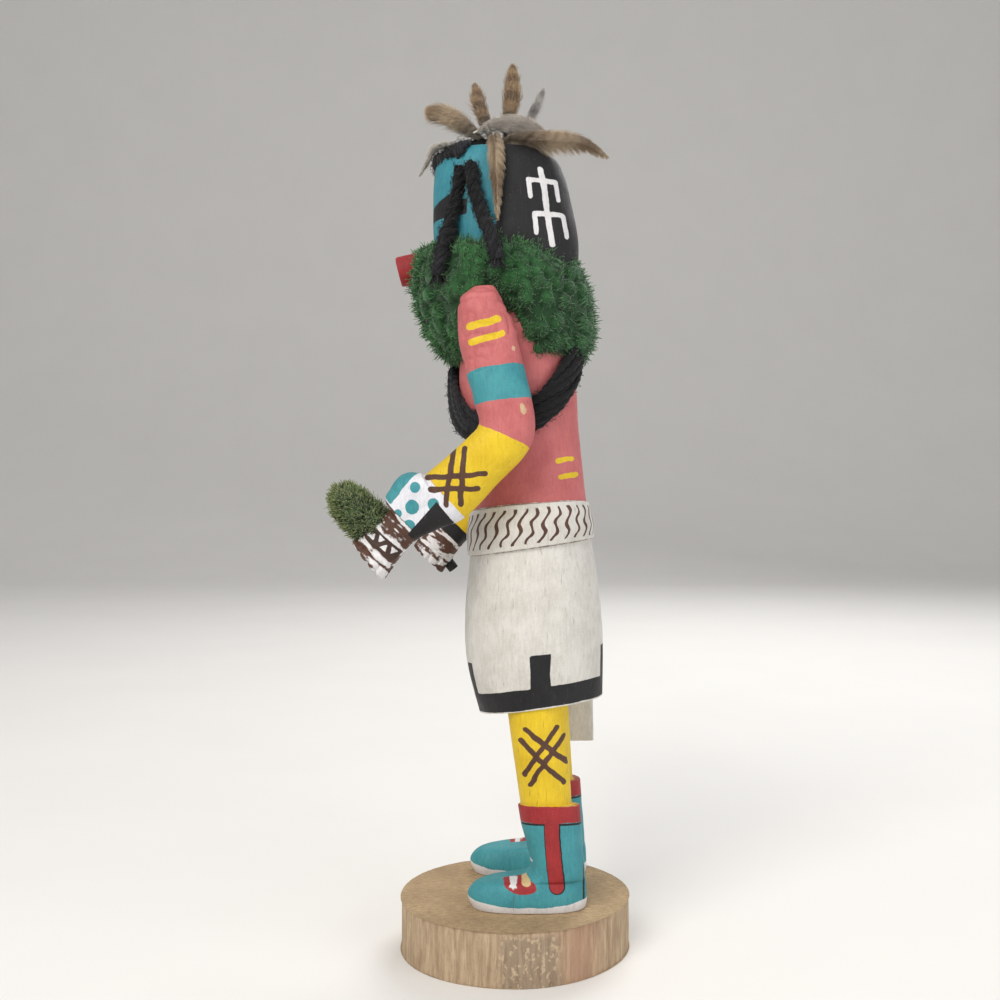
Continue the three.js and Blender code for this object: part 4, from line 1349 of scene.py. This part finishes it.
    def drag_white(self, brush: Brush, fist: Array, down: Array, across: Array) -> None:
        """Drags a dry white brush over the brown fist.

        Args:
            brush: The brush.
            fist: How far past the wrist each point lies, in mm.
            down: How far down the fist it lies.
            across: How far across the fist it lies.
        """
        lines = np.column_stack([brush.spots[:, 0] * 0.4, across * 0.22, down * 1.25])
        streak = layered_noise(lines, 1.2, 57, 3) + 0.5 * lattice_noise(brush.spots, 4.0, 58)
        edge = 0.5 * np.exp(-((down - 7.8) / 0.5) ** 2) + 0.5 * np.exp(-((down - 2.2) / 0.5) ** 2)
        brush.lay(WHITE, np.minimum(fist - 0.2, 0.6 * (streak + edge - 0.12)))


# ---------------------------------------------------------------- snout and stick


@dataclass
class TurnedRod:
    """A whittled wooden rod: the snout of the mask, or the stick in the right fist."""

    name: str
    node: str
    slot: Slot
    start: Point
    end: Point
    diameter: float
    coat: Coat
    hollow: float = 0.0

    def build(self) -> bpy.types.Object:
        """Makes and paints the rod.

        Returns:
            The finished object.
        """
        start, end = np.array(self.start), np.array(self.end)
        down = unit(end - start)
        side = np.array([1.0, 0, 0])
        up = np.cross(down, side)
        angles = 2 * np.pi * np.arange(32) / 32
        circle = np.cos(angles)[:, None] * side + np.sin(angles)[:, None] * up
        length = float(np.linalg.norm(end - start))
        radius = self.diameter / 2
        profile = [(0, 0.3), (0, 0.9), (0.3, 1), (1, 1)]
        profile += [(length * part / 12, 1) for part in range(1, 12)]
        profile += [(length - 1, 1), (length - 0.25, 0.99), (length, 0.93)]
        if self.hollow:
            profile += [(length, self.hollow + 0.06), (length - 0.2, self.hollow), (length - 3, self.hollow * 0.9),
                        (length - 3.4, self.hollow * 0.4)]
        else:
            profile += [(length, 0.5)]
        rings = np.array([start + down * far + circle * radius * share for far, share in profile])
        piece = carve_through(self.name, rings)
        move_along_normals(piece, lambda spots: 0.08 * layered_noise(spots, 3.0, 61))
        brush = Brush(piece)
        if self.hollow:
            # Painted shade: the hollow in the rod's end is painted black inside.
            from_axis = np.cross(brush.spots - end, down)
            past = (brush.spots - end) @ down
            inside = radius * self.hollow + 0.15 - np.linalg.norm(from_axis, axis=1)
            brush.lay(BLACK, np.minimum(inside, past + 4))
            brush.dry(PaintedWood(f"painted_{self.name}", self.coat, [BLACK]))
        else:
            brush.dry(PaintedWood(f"painted_{self.name}", self.coat, []))
        mount(piece, [self.node])
        return piece


# ---------------------------------------------------------------- yarn


@dataclass(frozen=True)
class YarnFinish:
    """Dyed wool: its dark and middle tones, the dark one also painted shade at the fibres' roots and between lumps, and
    its light tone, painted highlight towards the tips.
    """

    name: str
    dark: Colour
    middle: Colour
    light: Colour
    sheen: float = 0.25

    def make(self) -> bpy.types.Material:
        """Builds the material."""
        shader = Shader(self.name)
        fuzz = shader.noise(0.5, detail=3)
        cloud = shader.noise(6.0, detail=3)
        tone = shader.mix(shader.between(cloud, 0.35, 0.65), self.dark, self.middle)
        # painted shade: the yarn turns to its dark tone where "tip" is low, at the roots of the fibres and in the
        # hollows between lumps
        tone = shader.mix(shader.between(shader.value_of("tip"), 0.1, 0.6), self.dark, tone)
        # painted highlight: it turns to its light tone towards the tips
        share = shader.calc("MULTIPLY", shader.value_of("tip"), shader.between(fuzz, 0.2, 0.7))
        colour = shader.mix(shader.between(share, 0.3, 0.95), tone, self.light)
        shader.bump(fuzz, 0.2, 0.6)
        return shader.finish(colour, shader.between(fuzz, 0, 1, 0.8, 0.95), self.sheen)


# Each yarn's light tone is painted highlight, and its dark tone is also painted shade.
GREEN_YARN = YarnFinish("green_looped_yarn", rgb(24, 62, 28), rgb(48, 108, 54), rgb(106, 160, 98))
SPRIG_YARN = YarnFinish("moss_green_yarn", rgb(48, 70, 38), rgb(88, 118, 64), rgb(170, 170, 118))
BLACK_YARN = YarnFinish("black_wool_yarn", rgb(9, 9, 11), rgb(16, 16, 19), rgb(44, 44, 50), 0.08)


def pile(
    roots: Array, facing: Array, centres: Array, count: int, random: np.random.Generator, reach: float,
) -> Array:
    """Makes fine fibres that stand on a surface and lean together in tufts.

    Args:
        roots: Points of the surface.
        facing: The directions in which it faces there.
        centres: Which of those points are the middles of tufts.
        count: How many fibres to make.
        random: The source of the draws.
        reach: How far a fibre stands off, in mm.

    Returns:
        The fibres' middle lines, as fibres x points x 3.
    """
    tree = kdtree.KDTree(len(centres))
    for index, centre in enumerate(roots[centres]):
        tree.insert(centre, index)
    tree.balance()
    chosen = random.integers(0, len(roots), count)
    nearest = centres[np.array([tree.find(spot)[1] for spot in roots[chosen]])]
    root, outward = roots[chosen], facing[chosen]
    high = random.uniform(0.45, 1.0, (count, 1)) * reach
    free = root + outward * high + random.normal(size=(count, 3)) * 0.3 * reach
    tufted = roots[nearest] + facing[nearest] * high * 1.15 + random.normal(size=(count, 3)) * 0.12 * reach
    end = free * 0.68 + tufted * 0.32
    step = np.linspace(0, 1, 4)[None, :, None]
    bow = unit(random.normal(size=(count, 3)))[:, None] * np.sin(np.pi * step) * 0.22 * reach
    return (root - outward * 0.3)[:, None] * (1 - step) + end[:, None] * step + bow


def curls(
    roots: Array, facing: Array, count: int, random: np.random.Generator, reach: float = 2.4, points: int = 8,
) -> Array:
    """Makes short curly ends of yarn that stand on a surface.

    Args:
        roots: Points of the surface.
        facing: The directions in which it faces there.
        count: How many curls to make.
        random: The source of the draws.
        reach: How far a curl stands off, in mm.
        points: How many points a curl has.

    Returns:
        The curls' middle lines, as curls x points x 3.
    """
    chosen = random.integers(0, len(roots), count)
    root, outward = roots[chosen], facing[chosen]
    wild = unit(random.normal(size=(count, 3)))
    first = unit(np.cross(outward, wild))
    second = np.cross(outward, first)
    step = np.linspace(0, 1, points)[None, :, None]
    turns = random.uniform(0.5, 1.25, (count, 1, 1)) * 2 * np.pi
    wide = random.uniform(0.35, 0.95, (count, 1, 1)) * reach * 0.55
    high = random.uniform(0.35, 1.0, (count, 1, 1)) * reach
    angle = step * turns
    rise = np.sin(np.pi * np.minimum(step * 0.85, 1)) * high
    line = (
        root[:, None] + outward[:, None] * (rise - 0.3)
        + first[:, None] * (np.cos(angle) - 1) * wide + second[:, None] * np.sin(angle) * wide
    )
    return line + random.normal(size=line.shape) * 0.08


def lumpy(piece: bpy.types.Object, count: int, reach: float, height: float, random: np.random.Generator) -> Array:
    """Covers a surface with round lumps, as the loops of a thick yarn make.

    Args:
        piece: The piece.
        count: How many lumps there are.
        reach: The radius of a lump, in mm.
        height: Its height, in mm.
        random: The source of the draws.

    Returns:
        Which points are the middles of lumps.
    """
    spots = read_spots(piece)
    facing = read_normals(piece)
    centre_indices = random.integers(0, len(spots), count)
    centres = spots[centre_indices]
    tree = kdtree.KDTree(count)
    for index, centre in enumerate(centres):
        tree.insert(centre, index)
    tree.balance()
    away = np.array([tree.find(spot)[2] for spot in spots])
    rise = height * np.sqrt(np.clip(1 - (away / reach) ** 2, 0, 1))
    write_spots(piece, spots + facing * (rise - height * 0.7)[:, None])
    # The lumps' crests get a higher "tip" than the hollows, so the yarn's finish paints shade in the hollows and
    # highlight on the crests.
    add_values(piece, "tip", np.clip(rise / height - 0.2, 0, 1) * 0.6)
    return centre_indices


@dataclass
class Ruff:
    """The thick collar of green looped yarn under the mask."""

    half_width: float = 28.0
    half_depth: float = 28.8
    middle_y: float = -3.2
    top: float = 219.8
    turns: int = 112
    sides: int = 44
    lumps: int = 1100
    fibres: int = 8800

    def ring(self, angle: float) -> Array:
        """The section of the collar at an angle round the neck."""
        hanging = min(max((abs(math.sin(angle)) - 0.08) / 0.37, 0), 1)
        hanging = hanging * hanging * (3 - 2 * hanging)
        outward = np.array([math.cos(angle), math.sin(angle), 0.0])
        reach = self.half_width * self.half_depth / math.hypot(
            self.half_depth * outward[0], self.half_width * outward[1])
        lump = 0.7 * math.sin(7 * angle) + 0.5 * math.cos(11 * angle)
        half = 9.5 + lump / 2
        top = self.top + lump / 2
        bottom = 199 - 15 * hanging - lump
        middle = outward * (reach + lump / 2 - half) + [0, self.middle_y, (top + bottom) / 2]
        upward = np.array([0, 0, (top - bottom) / 2]) + outward * (5.5 - 9 * (outward[1] + 1) / 2)
        turn = 2 * np.pi * np.arange(self.sides) / self.sides
        power = 2 / 2.1
        return (
            middle + signed_power(np.cos(turn), power)[:, None] * outward * (half - 1.1)
            + signed_power(np.sin(turn), power)[:, None] * upward * 0.95
        )

    def build(self) -> List[bpy.types.Object]:
        """Makes the collar and the loose loops on it.

        Returns:
            The finished objects.
        """
        deselect_all()
        bpy.ops.mesh.primitive_torus_add(
            major_segments=self.turns, minor_segments=self.sides, major_radius=0.02, minor_radius=0.01)
        piece = bpy.context.object
        piece.name = piece.data.name = "yarn_ruff"
        rings = [self.ring(2 * math.pi * turn / self.turns) for turn in range(self.turns)]
        write_spots(piece, np.concatenate(rings))
        tidy_shell(piece)
        add_modifier(piece, "SUBSURF", levels=2, render_levels=2)
        bpy.ops.object.shade_smooth()
        random = np.random.default_rng(SEED)
        centres = lumpy(piece, self.lumps, 2.7, 1.7, random)
        spots, facing = read_spots(piece), read_normals(piece)
        finish = GREEN_YARN.make()
        piece.data.materials.append(finish)
        mount(piece, ["ruff"])
        pieces = [piece]
        for number, reach in enumerate((1.4, 2.1)):
            lines = pile(spots, facing, centres, self.fibres, random, reach)
            radii = np.linspace(0.2, 0.07, 4)[None] * random.uniform(0.7, 1.2, (self.fibres, 1))
            loops = strand_mesh(f"yarn_ruff_loops_{number + 1}", lines, radii, 3)
            loops.data.materials.append(finish)
            mount(loops, ["ruff"])
            pieces.append(loops)
        return pieces


@dataclass
class Sprig:
    """The tuft of green yarn held in the left fist, in place of evergreen."""

    route: Tuple[Point, ...] = ((27.6, -40, 131.6), (27.8, -44, 135.4), (28, -48.6, 139.8), (28, -51.4, 143))
    count: int = 5200

    def build(self) -> bpy.types.Object:
        """Makes the tuft.

        Returns:
            The finished object.
        """
        random = np.random.default_rng(SEED + 1)
        middle = smooth_route(self.route, 24)
        part = np.linspace(0, 1, 24)
        wide = 2.5 + 3.1 * np.sin(np.pi * (0.25 + 0.62 * part)) - 1.2 * part
        forward = unit(np.gradient(middle, axis=0))
        side = np.array([1.0, 0, 0])
        rings = []
        for spot, ahead, radius in zip(middle, forward, wide):
            up = np.cross(ahead, side)
            turn = 2 * np.pi * np.arange(36) / 36
            rings.append(spot + np.cos(turn)[:, None] * side * radius * 0.8 + np.sin(turn)[:, None] * up * radius)
        ends = inset_rings(rings[0], (0.3, 0.8)), inset_rings(rings[-1], (0.85, 0.5, 0.15))
        ends[1][1:] += forward[-1] * 0.8
        core = carve_through("yarn_sprig", np.concatenate([ends[0], np.array(rings), ends[1]]), 2)
        centres = lumpy(core, 170, 2.0, 1.3, random)
        spots, facing = read_spots(core), read_normals(core)
        lines = pile(spots, unit(facing + forward[-1] * 0.5), centres, self.count, random, 2.1)
        radii = np.linspace(0.17, 0.06, 4)[None] * random.uniform(0.7, 1.2, (self.count, 1))
        loops = strand_mesh("sprig_loops", lines, radii, 3)
        piece = join_pieces("yarn_sprig", [core, loops])
        piece.data.materials.append(SPRIG_YARN.make())
        mount(piece, ["evergreen"])
        return piece


@dataclass
class TwistedYarn:
    """A length of black yarn laid along a route: a lock, the fringe, the bandolier or the knot."""

    name: str
    node: str
    route: Sequence[Point]
    strands: int = 4
    half_width: float = 1.15
    half_breadth: float = 1.15
    strand_radius: float = 1.1
    turns: float = 4.0
    points: int = 120
    fuzz: int = 500
    closed: bool = False
    ragged_end: int = 0
    outward: Optional[Array] = None

    def build(self) -> bpy.types.Object:
        """Makes the yarn.

        Returns:
            The finished object.
        """
        random = np.random.default_rng(SEED + sum(map(ord, self.name)))
        middle = smooth_route(self.route, self.points)
        forward = unit(np.gradient(middle, axis=0))
        if self.closed:
            forward[0] = forward[-1] = unit(middle[1] - middle[-2])
        if self.outward is None:
            guide = np.tile(np.array([1.0, 0.2, 0.1]), (self.points, 1))
        else:
            guide = smooth_route(self.outward, self.points)
        first = unit(guide - forward * np.sum(guide * forward, axis=1, keepdims=True))
        second = np.cross(forward, first)
        share = np.linspace(0, 1, self.points)
        lines = []
        for strand in range(self.strands):
            wander = 0.0 if self.closed else 0.25
            phase = 2 * np.pi * (strand / self.strands + self.turns * share)
            swell = 1 + wander * np.sin(2 * np.pi * (share * 1.7 + random.random()))
            inner = 0.55 if strand % 3 == 2 and self.strands > 6 else 1.0
            lines.append(
                middle + first * (np.cos(phase) * self.half_width * swell * inner)[:, None]
                + second * (np.sin(phase) * self.half_breadth * swell * inner)[:, None])
        lines = np.array(lines)
        if not self.closed:
            lines += 0.16 * np.sin(np.linspace(0, 40, self.points))[None, :, None] * random.normal(
                size=(self.strands, 1, 3))
        radii = np.full(lines.shape[:2], self.strand_radius)
        if not self.closed:
            radii[:, 0] *= 0.5
            radii[:, -2:] *= 0.75
        length = np.linalg.norm(np.diff(middle, axis=0), axis=1).sum()
        turn = 2 * np.pi * length / 2.6 / self.points
        parts = [strand_mesh(self.name, lines, radii, 10, 1.0, 2, turn)]
        flat = lines.reshape(-1, 3)
        outward = (lines - middle[None]).reshape(-1, 3)
        hairs = curls(flat + unit(outward) * self.strand_radius * 0.85, unit(outward), self.fuzz, random, 1.5, 6)
        parts.append(strand_mesh(
            "hairs", hairs, np.full(hairs.shape[:2], 0.06) * random.uniform(0.7, 1.3, (self.fuzz, 1)), 3))
        if self.ragged_end:
            parts.append(self.frayed_end(middle[-1], forward[-1], random))
        piece = join_pieces(self.name, parts)
        piece.data.materials.append(BLACK_YARN.make())
        mount(piece, [self.node])
        return piece

    def frayed_end(self, end: Array, down: Array, random: np.random.Generator) -> bpy.types.Object:
        """Makes the short plies that spread from a cut end."""
        count = self.ragged_end
        step = np.linspace(0, 1, 6)[None, :, None]
        spread = random.normal(size=(count, 1, 3)) * [[[0.9, 0.9, 0.4]]]
        line = end + spread * 0.7 + down * (step * 3.4 - 1.0) + spread * step ** 1.5 * 0.8
        return strand_mesh("frayed", line, np.linspace(0.34, 0.16, 6)[None] * np.ones((count, 1)), 4)


def torso_at(height: Array) -> Tuple[Array, Array, Array]:
    """The half width, half depth and middle y of the torso at heights."""
    levels = np.array([(cut[1] + cut[3]) / 2 for cut in TORSO_CUTS])
    widths = np.array([cut[5] / 2 for cut in TORSO_CUTS])
    depths = np.array([(cut[2] - cut[0]) / 2 for cut in TORSO_CUTS])
    middles = np.array([(cut[2] + cut[0]) / 2 for cut in TORSO_CUTS])
    return tuple(np.interp(height, levels, part) for part in (widths, depths, middles))


def make_bandolier() -> bpy.types.Object:
    """Makes the hank of black yarn worn over the right shoulder and under the left arm."""
    angle = 2 * np.pi * np.arange(49) / 48
    height = 185 - 20 * np.cos(angle) + 11 * np.sin(angle)
    width, depth, middle = torso_at(height)
    stand = 2.0
    route = np.column_stack([
        (width + stand) * signed_power(np.cos(angle), 0.87),
        middle + (depth + stand) * signed_power(np.sin(angle), 0.87),
        height,
    ])
    outward = unit(np.column_stack([route[:, 0], route[:, 1] - middle, np.zeros(len(route))]))
    return TwistedYarn(
        "yarn_bandolier", "bandolier", route, strands=13, half_width=1.3, half_breadth=3.7, strand_radius=1.0,
        turns=2.0, points=300, fuzz=900, closed=True, outward=outward,
    ).build()


FRONT_LOCK = ((18, -16.4, 241.6), (18.6, -17.4, 233), (19.4, -19.4, 225), (21.6, -21.6, 217), (22, -23.6, 208))
REAR_LOCK = ((20.2, -13.4, 242), (22.4, -12.2, 234), (24.6, -9.8, 225.6), (29, -7.4, 219), (31, -5.6, 211))


def make_locks() -> None:
    """Makes the four locks that hang from the top of the mask."""
    for side, sign in (("left", 1), ("right", -1)):
        for place, route in (("front", FRONT_LOCK), ("rear", REAR_LOCK)):
            name = f"lock_{side}_{place}"
            TwistedYarn(
                f"yarn_{name}", name, [(sign * x, y, z) for x, y, z in route], strands=6, half_width=1.2,
                half_breadth=1.2, strand_radius=0.85, turns=2.2, ragged_end=26,
            ).build()


def make_fringe() -> None:
    """Makes the band of knotted yarn across the brow."""
    angles = np.linspace(-1.05, 1.05, 15)
    route = [(19 * math.sin(a), -7 - 15.8 * math.cos(a), 246.8 + 0.4 * math.sin(9 * a)) for a in angles]
    TwistedYarn(
        "yarn_fringe", "fringe", route, strands=7, half_width=1.7, half_breadth=2.0, strand_radius=1.0,
        turns=6.0, points=200, fuzz=900,
    ).build()
    TwistedYarn(
        "yarn_knot", "quill_knot", [(0, -15, 251.4), (0, -12, 252.4), (0, -8, 253), (0, -3.6, 252.6), (0, -1, 251.6)],
        strands=4, half_width=2.0, half_breadth=1.8, strand_radius=1.1, turns=3, points=90, fuzz=300,
    ).build()


# ---------------------------------------------------------------- feathers


@dataclass(frozen=True)
class FeatherTone:
    """The colours of a feather's barbs: near the quill's root, its bars, and its tips."""

    name: str
    root: Colour
    dark: Colour
    light: Colour
    bars: float = 0.0

    def tint(self, along: Array, out: Array, random: np.random.Generator) -> Array:
        """Gives each barb point its colour.

        Args:
            along: How far along the quill its barb is rooted, 0 to 1.
            out: How far out along the barb it is, 0 to 1.
            random: The source of the draws.

        Returns:
            A linear colour for each point.
        """
        stripe = 0.5 + 0.5 * np.sin(2 * np.pi * (along * self.bars + out * 0.35)) if self.bars else 0.5
        share = np.clip(stripe + 0.45 * (random.random(along.shape) - 0.5) + 0.25 * out, 0, 1)[..., None]
        tone = np.array(self.dark) * (1 - share) + np.array(self.light) * share
        down = np.clip(1 - along * 2.6, 0, 1)[..., None]
        return tone * (1 - down) + np.array(self.root) * down


BARRED = FeatherTone("barred", rgb(158, 148, 136), rgb(84, 62, 46), rgb(186, 158, 122), 5.0)
TAN = FeatherTone("tan", rgb(184, 174, 160), rgb(136, 110, 84), rgb(206, 184, 154), 2.0)
GREY = FeatherTone("grey", rgb(190, 184, 178), rgb(112, 106, 104), rgb(196, 192, 188), 3.0)
PALE = FeatherTone("pale", rgb(216, 208, 198), rgb(180, 168, 156), rgb(234, 228, 218), 0.0)


def feather_material(name: str) -> bpy.types.Material:
    """Builds the material of the feathers, which takes each barb's own colour."""
    shader = Shader(name)
    fine = shader.noise(0.35, detail=2)
    colour = shader.mix(shader.between(fine, 0.3, 0.75, 0, 0.35), shader.tint_of("tint"), rgb(96, 82, 70))
    return shader.finish(colour, shader.between(fine, 0, 1, 0.6, 0.8), 0.2)


@dataclass
class Plume:
    """One feather: a quill with curved barbs, of a vane or of down."""

    name: str
    node: str
    quill: Sequence[Point]
    width: float
    thickness: float
    tone: FeatherTone
    slot: Slot
    barbs: int = 2200
    clumps: int = 15
    widest: float = 0.55
    down: float = 0.5
    barb_radius: float = 0.09
    flat_towards: Point = (1, 0, 0)
    end: float = 1.0
    start: float = 0.05

    def build(self, finish: bpy.types.Material) -> bpy.types.Object:
        """Makes the feather.

        Args:
            finish: The feathers' material.

        Returns:
            The finished object.
        """
        random = np.random.default_rng(SEED + sum(map(ord, self.name)))
        middle = smooth_route(self.quill, 60)
        forward = unit(np.gradient(middle, axis=0))
        flat = np.array(self.flat_towards, float)
        side = unit(flat - forward * (forward @ flat)[:, None])
        face = np.cross(forward, side)
        along = self.start + (1 - self.start) * random.random(self.barbs) ** 0.9
        place = along * 59
        low = np.minimum(place.astype(int), 58)
        part = (place - low)[:, None]
        root = middle[low] * (1 - part) + middle[low + 1] * part
        ahead, out, off = forward[low], side[low], face[low]
        hand = np.where(random.random(self.barbs) < 0.5, -1.0, 1.0)[:, None]
        swell = np.where(
            along < self.widest, np.sin(np.pi / 2 * along / self.widest),
            np.cos(np.pi / 2 * (along - self.widest) / (1 - self.widest)))
        length = (1.2 + (self.width / 2 - 0.6) * np.clip(swell, 0, 1)) * random.uniform(0.7, 1.12, self.barbs)
        lift = np.radians(28 + 42 * along + random.normal(size=self.barbs) * 9)[:, None]
        stray = self.down * random.normal(size=(self.barbs, 1))
        start = unit(out * hand * np.cos(lift) + ahead * np.sin(lift) + off * stray * 0.8)
        bend = unit(ahead * 0.9 + off * self.down * random.normal(size=(self.barbs, 1)) + 1e-6)
        droop = np.array([0, 0, -1.0]) * self.down * 0.35
        steps = np.linspace(0, 1, 6)[None, :, None]
        reach = length[:, None, None]
        curl = unit(random.normal(size=(self.barbs, 3)))[:, None]
        line = (
            root[:, None] + start[:, None] * steps * reach + (bend[:, None] * 0.35 + droop) * steps ** 2 * reach
            + curl * np.sin(steps * np.pi * 1.5) * 0.22 * self.down * reach * 0.6
        )
        bunch = np.round(along * self.clumps).astype(int) * 2 + (hand[:, 0] > 0)
        total = np.zeros((bunch.max() + 1, 3))
        np.add.at(total, bunch, line[:, -1])
        mean = total / np.maximum(np.bincount(bunch), 1)[:, None]
        line += (mean[bunch] - line[:, -1])[:, None] * 0.6 * steps ** 2
        radii = self.barb_radius * np.linspace(1.0, 0.25, 6)[None] * random.uniform(0.7, 1.25, (self.barbs, 1))
        barbs = strand_mesh(self.name, line, radii, 3, 0.7)
        shares = np.repeat(np.tile(np.linspace(0, 1, 6), (self.barbs, 1)), 3, axis=1)
        places = np.repeat(along[:, None], 18, axis=1)
        add_tints(barbs, "tint", self.tone.tint(places, shares, random).reshape(-1, 3))
        shaft = strand_mesh("shaft", middle[None], np.linspace(0.38, 0.1, 60)[None], 6)
        shade = np.tile(np.array(self.tone.light) * 0.8, (len(shaft.data.vertices), 1))
        add_tints(shaft, "tint", shade)
        piece = join_pieces(self.name, [barbs, shaft])
        piece.data.materials.append(finish)
        mount(piece, [self.node])
        return piece


def make_feathers() -> None:
    """Makes the bunch of feathers on the crown."""
    finish = feather_material("feather_barbs")
    plumes = [
        Plume("feather_upright", "plume_upright", ((0, -3, 253), (0.4, -2, 260), (0.2, -1, 269), (0, -0.6, 278.6)),
              15, 5, BARRED, Slot.TAN_FEATHER, 3600, down=0.8),
        Plume("feather_front", "plume_front", ((1, -9, 254), (2, -14, 258), (2.4, -20, 262), (2, -27, 264.2)),
              15, 5, TAN, Slot.TAN_FEATHER, 3400, down=0.9),
        Plume("feather_crest", "plume_crest", ((-1, -7, 254), (-1, -9, 260), (-1, -11, 266), (-1, -12.6, 273)),
              12, 5, BARRED, Slot.TAN_FEATHER, 2600, down=0.9),
        Plume("feather_rear", "plume_rear",
              ((4, -5, 252.6), (12, 0, 251.6), (15, 6, 250.8), (12, 14, 251.8), (6, 22, 252.2), (1, 29, 249.8)),
              12, 5, TAN, Slot.TAN_FEATHER, 3400, widest=0.4, down=0.75, flat_towards=(0.85, 0, 0.5)),
        Plume("feather_hanging", "plume_hanging",
              ((5, -6, 253.6), (13, -6.4, 252.4), (20.2, -6, 247), (22.8, -5.6, 238), (23.6, -5.4, 225)),
              7.6, 4, TAN, Slot.TAN_FEATHER, 3000, down=0.75, flat_towards=(0.6, 1, 0.3)),
        Plume("feather_grey_short", "feather_grey", ((2, -1, 254), (3, 3, 258), (3.4, 6, 263.4), (3.2, 8.8, 269.6)),
              9, 4, GREY, Slot.PALE_FEATHER, 2000, down=0.5),
        Plume("feather_white_short", "feather_white",
              ((-1, -13, 252), (-1.6, -18, 253.8), (-2, -24.6, 253), (-2, -30, 245.2)),
              7, 4, PALE, Slot.PALE_FEATHER, 1600, down=0.35),
        Plume("feather_down", "down_tuft", ((5.6, -13, 255.6), (6.4, -6, 258.4), (6.6, 1, 258.6), (6, 8.4, 256.6)),
              13, 8, PALE, Slot.PALE_FEATHER, 3600, down=1.1),
    ]
    for plume in plumes:
        plume.build(finish)


# ---------------------------------------------------------------- the room


@dataclass
class Studio:
    """A pale floor that curves up behind the doll, soft lights, and the camera at its left."""

    eye: Point = (0.346, -0.00465, 0.1455)
    lens: float = 39.6
    drop: float = -0.02

    def place_camera(self) -> None:
        """Sets up the camera, level and looking at the doll's left side."""
        camera = bpy.data.cameras.new("camera")
        camera.lens = self.lens
        camera.sensor_width = 36.0
        camera.shift_y = self.drop
        camera.clip_start = 0.01
        holder = bpy.data.objects.new("camera", camera)
        holder.location = self.eye
        holder.rotation_euler = (math.radians(90), 0, math.radians(90))
        bpy.context.scene.collection.objects.link(holder)
        bpy.context.scene.camera = holder

    def build_floor(self) -> None:
        """Makes the floor and the wall that it curves into."""
        deselect_all()
        bpy.ops.mesh.primitive_plane_add(size=3.0, location=(0.3, 0, 0))
        floor = bpy.context.object
        bpy.ops.object.transform_apply(location=True)
        for corner in floor.data.vertices:
            corner.select = corner.co.x < 0
        for edge in floor.data.edges:
            edge.select = all(floor.data.vertices[end].co.x < 0 for end in edge.vertices)
        for face in floor.data.polygons:
            face.select = False
        bpy.ops.object.mode_set(mode="EDIT")
        bpy.ops.mesh.select_mode(type="EDGE")
        for step in range(12):
            rise = math.radians(7.5 * step + 3.75)
            move = (-0.09 * math.cos(rise), 0, 0.09 * math.sin(rise))
            bpy.ops.mesh.extrude_region_move(TRANSFORM_OT_translate={"value": move})
        bpy.ops.mesh.extrude_region_move(TRANSFORM_OT_translate={"value": (0, 0, 1.5)})
        bpy.ops.object.mode_set(mode="OBJECT")
        bpy.ops.object.shade_smooth()
        floor.name = floor.data.name = "floor"
        shader = Shader("pale_floor")
        soft = shader.noise(90.0, detail=3)
        floor.data.materials.append(
            shader.finish(shader.mix(soft, rgb(222, 220, 216), rgb(228, 226, 222)), 0.8))

    def hang_light(self, name: str, spot: Point, size: float, power: float, tint: Colour) -> None:
        """Hangs one soft light that points at the middle of the doll."""
        lamp = bpy.data.lights.new(name, "AREA")
        lamp.size = size
        lamp.energy = power
        lamp.color = tint
        holder = bpy.data.objects.new(name, lamp)
        holder.location = spot
        holder.rotation_euler = (Vector((0, 0, 0.14)) - Vector(spot)).to_track_quat("-Z", "Y").to_euler()
        bpy.context.scene.collection.objects.link(holder)

    def light_room(self) -> None:
        """Sets up the light."""
        world = bpy.data.worlds.new("room")
        world.use_nodes = True
        world.node_tree.nodes["Background"].inputs["Color"].default_value = (*rgb(232, 232, 234), 1)
        world.node_tree.nodes["Background"].inputs["Strength"].default_value = 0.55
        bpy.context.scene.world = world
        self.hang_light("key", (0.75, -0.45, 0.85), 0.6, 9.6, (1.0, 0.97, 0.93))
        self.hang_light("fill", (0.6, 0.8, 0.4), 0.8, 4, (0.95, 0.97, 1.0))
        self.hang_light("back", (-0.7, 0.3, 0.8), 0.6, 6, (1.0, 1.0, 1.0))


def main() -> None:
    """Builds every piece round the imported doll."""
    logging.basicConfig(level=logging.INFO, format="%(name)s: %(message)s")
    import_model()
    studio = Studio()
    studio.place_camera()
    LogSlice().build()
    CaseMask().build()
    Trunk().build()
    SashEnd().build()
    for sign in (1, -1):
        BootedLeg(sign).build()
        CarvedArm(sign).build()
    TurnedRod("snout", "snout", Slot.SNOUT, (0, -13.6, 218.4), (0, -36.9, 213.02), 9.6, RED, 0.55).build()
    TurnedRod("rattle_handle", "rattle_stick", Slot.STICK, (-27, -20.4, 116.4), (-27, -31.4, 131.2), 3.6, BLACK).build()
    Ruff().build()
    Sprig().build()
    make_locks()
    make_fringe()
    make_bandolier()
    make_feathers()
    studio.build_floor()
    studio.light_room()
    bpy.context.scene.view_settings.view_transform = "Standard"


if __name__ == "__main__":
    main()
